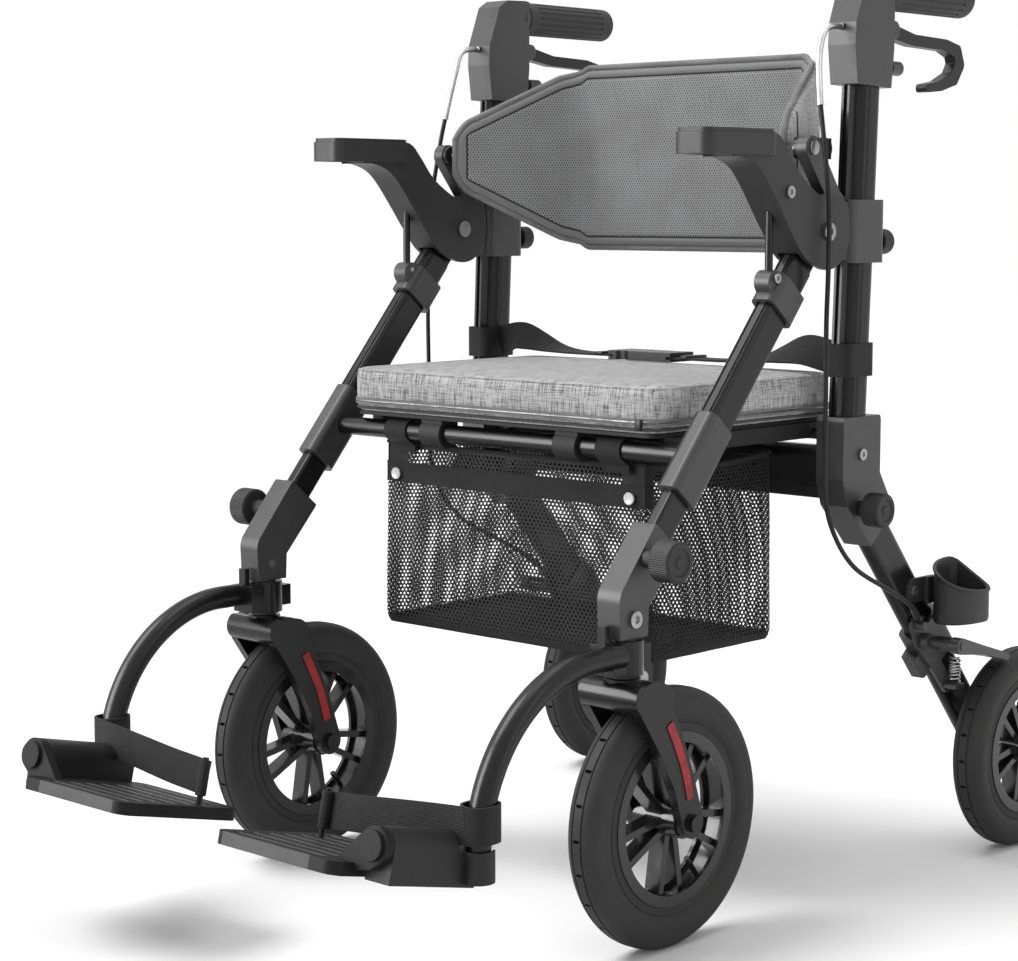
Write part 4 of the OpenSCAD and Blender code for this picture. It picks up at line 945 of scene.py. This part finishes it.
def toes_up(piece):
    """Lean a piece back about the foot of the footrest tube, as the plate leans."""
    for vertex in piece.data.vertices:
        y, z = vertex.co.y - FOOT_Y, vertex.co.z - FOOT_Z
        vertex.co.y = FOOT_Y + y * math.cos(TILT) + z * math.sin(TILT)
        vertex.co.z = FOOT_Z - y * math.sin(TILT) + z * math.cos(TILT)
    return piece


for side, s in SIDES:
    strap = ribbon("heel_strap_cloth_" + side, [(s * x, y, z, 90 - s * roll) for x, y, z, roll in HEEL], 2.4)
    tube = [p + Vector((s * 0.262, 0, 0)) for p in outline(0.01425, 0.01775, -0.3944, 0.173, 0.01375, 6, (4, 4))]
    post = [Vector((s * 0.088 + a, -0.4244 + b, 0.153)) for a, b in ring(0.0044, 20)]
    eye = toes_up(collar("heel_end_" + side, post, 2.2))
    strap = joined(strap, collar("heel_loop_" + side, tube, 2.4), eye)
    dressed(smooth(strap, 50), cloths["webbing"])
    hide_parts("heel_strap_" + side)
    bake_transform(strap)
print("heel straps")

# %% [markdown]
# ## Treads
# The footplates are ribbed. The grooves are real, but black in black, so the finish leaves the ground between them
# dull and paints a highlight, a lighter band, along the top of every second rib. It reads the slope of the plate to
# know where the ribs run.

# %% Ribbed treads
RIB_STEP, FIRST_RIB = 0.019, 0.1196
tread = Finish("tread_black", specular_ior_level=0.12)
here = tread.here()
x, y, z = tread.axes(here)
slope = (y - FOOT_Y) * math.cos(TILT) - (z - FOOT_Z) * math.sin(TILT)
# rib marks the band along the top of every second rib where a highlight is painted
rib = 1 - ((slope + FIRST_RIB) / RIB_STEP).fold(0.5).between(0.13, 0.17)
rib = rib * x.size().between(0.079, 0.080) * (1 - x.size().between(0.193, 0.194))
worn = tread.noise(here, 40, 4).between(0.35, 0.75)
# painted highlight: the rib tops get a lighter tone than the dull ground between them
shade = tread.mixed(rib, tread.mixed(worn, tone(0.009), tone(0.013)), tread.mixed(worn, tone(0.07), tone(0.10)))
tread_black = tread.wears(shade, 0.5 - rib * 0.1 + worn * 0.08, tread.cells(here, 900), 0.00016, 0.5, 0.0010)
for side, s in SIDES:
    dressed(frame["nodes"]["footplate_" + side], tread_black)
print("treads")

# %% [markdown]
# ## Springs and reflectors
# A brake spring is a wire wound in a helix; its middle turns lie a little closer together. The reflector is a thin
# red strip with a prism pattern, stuck along the outer and the inner face of each fork. The cables, made before there
# were finishes, are dressed here too.

# %% Springs
for side, s in SIDES:
    turns, steps = 7, 18
    wire = []
    for k in range(turns * steps + 1):
        t = k / (turns * steps)
        rise = t + 0.035 * math.sin(2 * math.pi * t)
        a = 2 * math.pi * k / steps
        wire.append(Vector((s * 0.2755 + 0.006 * math.cos(a), 0.338 + 0.006 * math.sin(a), 0.1922 + 0.0275 * rise)))
    spring = smooth(swept("brake_spring_" + side, wire, ring(0.001, 8)), 60)
    dressed(spring, finishes["spring_steel"])
    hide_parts("brake_springs")
    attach(spring, "rear_frame")
print("springs")

# %% Reflectors
red = Finish("reflector_red", specular_ior_level=0.25, coat_weight=0.1, coat_roughness=0.05)
here = red.here()
fade = red.noise(here, 60, 2).between(0.4, 0.7)
shade = red.mixed(fade, (0.30, 0.006, 0.009, 1), (0.17, 0.003, 0.005, 1))
red_sheet = red.wears(shade, 0.22 + fade * 0.1, red.cells(here, 650), 0.0004, 0.6)
SPINE = [(-170, 229), (-157.5, 205), (-147, 181), (-138.5, 152)]
for side, s in SIDES:
    for face, x in (("outer", s * 0.2904), ("inner", s * 0.2176)):
        line = curve_through([Vector((x, y / 1000, z / 1000)) for y, z in SPINE], 8)
        mark = swept("reflector_%s_%s" % (face, side), line, flat(0.0008, 0.0048))
        dressed(smooth(mark, 40), red_sheet)
        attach(mark, "caster_" + side)
print("reflectors")

# %% Dress the cables
for parts in cable_parts:
    for piece, name in zip(parts, ("cable_black", "spring_steel", "buckle_black")):
        dressed(piece, finishes[name])
print("cables dressed")

# %% [markdown]
# ## Knobs and cane cup
# The clamp knobs are turned discs with fine ribs and a dished face. One is modelled at unit size: on a cylinder with
# many sides every second edge is drawn in, the face is inset and dished, and the rear face grows a neck. Its copies
# are then laid out along each screw. The cane cup is a moulded D with a rolled rim that slopes outwards; it is
# lofted from a few outlines and joined to its bracket.

# %% One knob, copied six times
KNOB_SIDES = 112
bpy.ops.object.select_all(action="DESELECT")
bpy.ops.mesh.primitive_cylinder_add(vertices=KNOB_SIDES, radius=1, depth=1, location=(0.5, 0, 0),
                                    rotation=(0, math.pi / 2, 0))
knob = started("knob_model")
chosen(knob, "VERT", lambda v: round(math.atan2(v.co.z, v.co.y) / (2 * math.pi) * KNOB_SIDES) % 2)
bpy.ops.transform.resize(value=(1, 0.965, 0.965), center_override=(0.5, 0, 0))
done()
chosen(knob, "FACE", lambda p: p.normal.x > 0.9)
for inset, push in ((0.10, 0.07), (0.16, 0.0), (0.05, -0.06), (0.26, 0.0), (0.05, 0.05)):
    bpy.ops.mesh.inset(thickness=inset)
    bpy.ops.transform.translate(value=(push, 0, 0))
done()
chosen(knob, "FACE", lambda p: p.normal.x < -0.9)
bpy.ops.mesh.inset(thickness=0.10)
bpy.ops.transform.translate(value=(-0.06, 0, 0))
bpy.ops.mesh.inset(thickness=0.36)
bpy.ops.mesh.extrude_region_move(TRANSFORM_OT_translate={"value": (-0.90, 0, 0)})
done()
KNOBS = [("front", (268.4, -178, 383), 20.0, 17.6, 21, False), ("rear", (271.4, 160, 399), 17.6, 11.6, 19, False),
         ("height", (254, 197.4, 672), 13.0, 7.6, 15, True)]
for kind, base, radius, neck, thick, rearward in KNOBS:
    for side, s in SIDES:
        only(knob)
        bpy.ops.object.duplicate()
        copy = bpy.context.object
        copy.name = copy.data.name = "%s_knob_cap_%s" % (kind, side)
        for vertex in copy.data.vertices:
            x, y, z = vertex.co
            out = neck + x * thick if x > -0.5 else 0
            spot = (base[0] + y * radius, base[1] + out) if rearward else (base[0] + out, base[1] + y * radius)
            vertex.co = (s * spot[0] / 1000, spot[1] / 1000, (base[2] + z * radius) / 1000)
        faced_out(copy)
        dressed(smooth(copy, 25), finishes["knob_black"])
        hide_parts("%s_knob_%s" % (kind, side))
        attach(copy, "%s_screw_%s" % (kind, side))
bpy.data.objects.remove(knob)
print("six knobs")

# %% Cane cup
def cup_outline(grow):
    """A D seen from above: round towards the front, straight at the rear."""
    turn = [math.pi * k / 40 for k in range(41)]
    line = [(294 + (25.3 + grow) * math.cos(t), 332 - (52 + grow) * math.sin(t) ** 0.8) for t in turn]
    rear = [(270.2 - grow, 337 + grow), (274 - grow, 340.5 + grow), (284, 341 + grow), (304, 341 + grow),
            (314 + grow, 340.5 + grow), (317.8 + grow, 337 + grow)]
    return line + rear


def cup_ring(grow, z):
    """The outline at a height, or along the sloping rim where no height is given."""
    return [Vector((x, y, 329 - 0.6 * (x - 268.5) if z is None else z)) / 1000 for x, y in cup_outline(grow)]


CUP_RINGS = [(-3, 264), (-1, 265), (0, 268), (0, None), (-2.4, None), (-2.8, 271), (-5, 268.5)]
cup = faced_out(lofted("cane_cup_shell", [cup_ring(grow, z) for grow, z in CUP_RINGS]))
lip = swept("cane_cup_lip", cup_ring(-0.4, None), ring(0.0021, 8), closed=True)
bracket = block("cane_cup_bracket", (0.26555, 0.287, 0.300), (0.0043, 0.062, 0.026))
edges_along(bracket, 0)
bpy.ops.mesh.bevel(offset=0.012, segments=6, affect="EDGES")
done()
sole = block("cane_cup_foot", (0.2682, 0.304, 0.298), (0.0060, 0.030, 0.030))
modified(sole, "BEVEL", width=0.002, segments=2)
joined(cup, lip, bracket, sole)
dressed(smooth(cup, 35), finishes["arm_black"])
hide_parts("cane_cup")
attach(cup, "rear_frame")
print("cane cup")
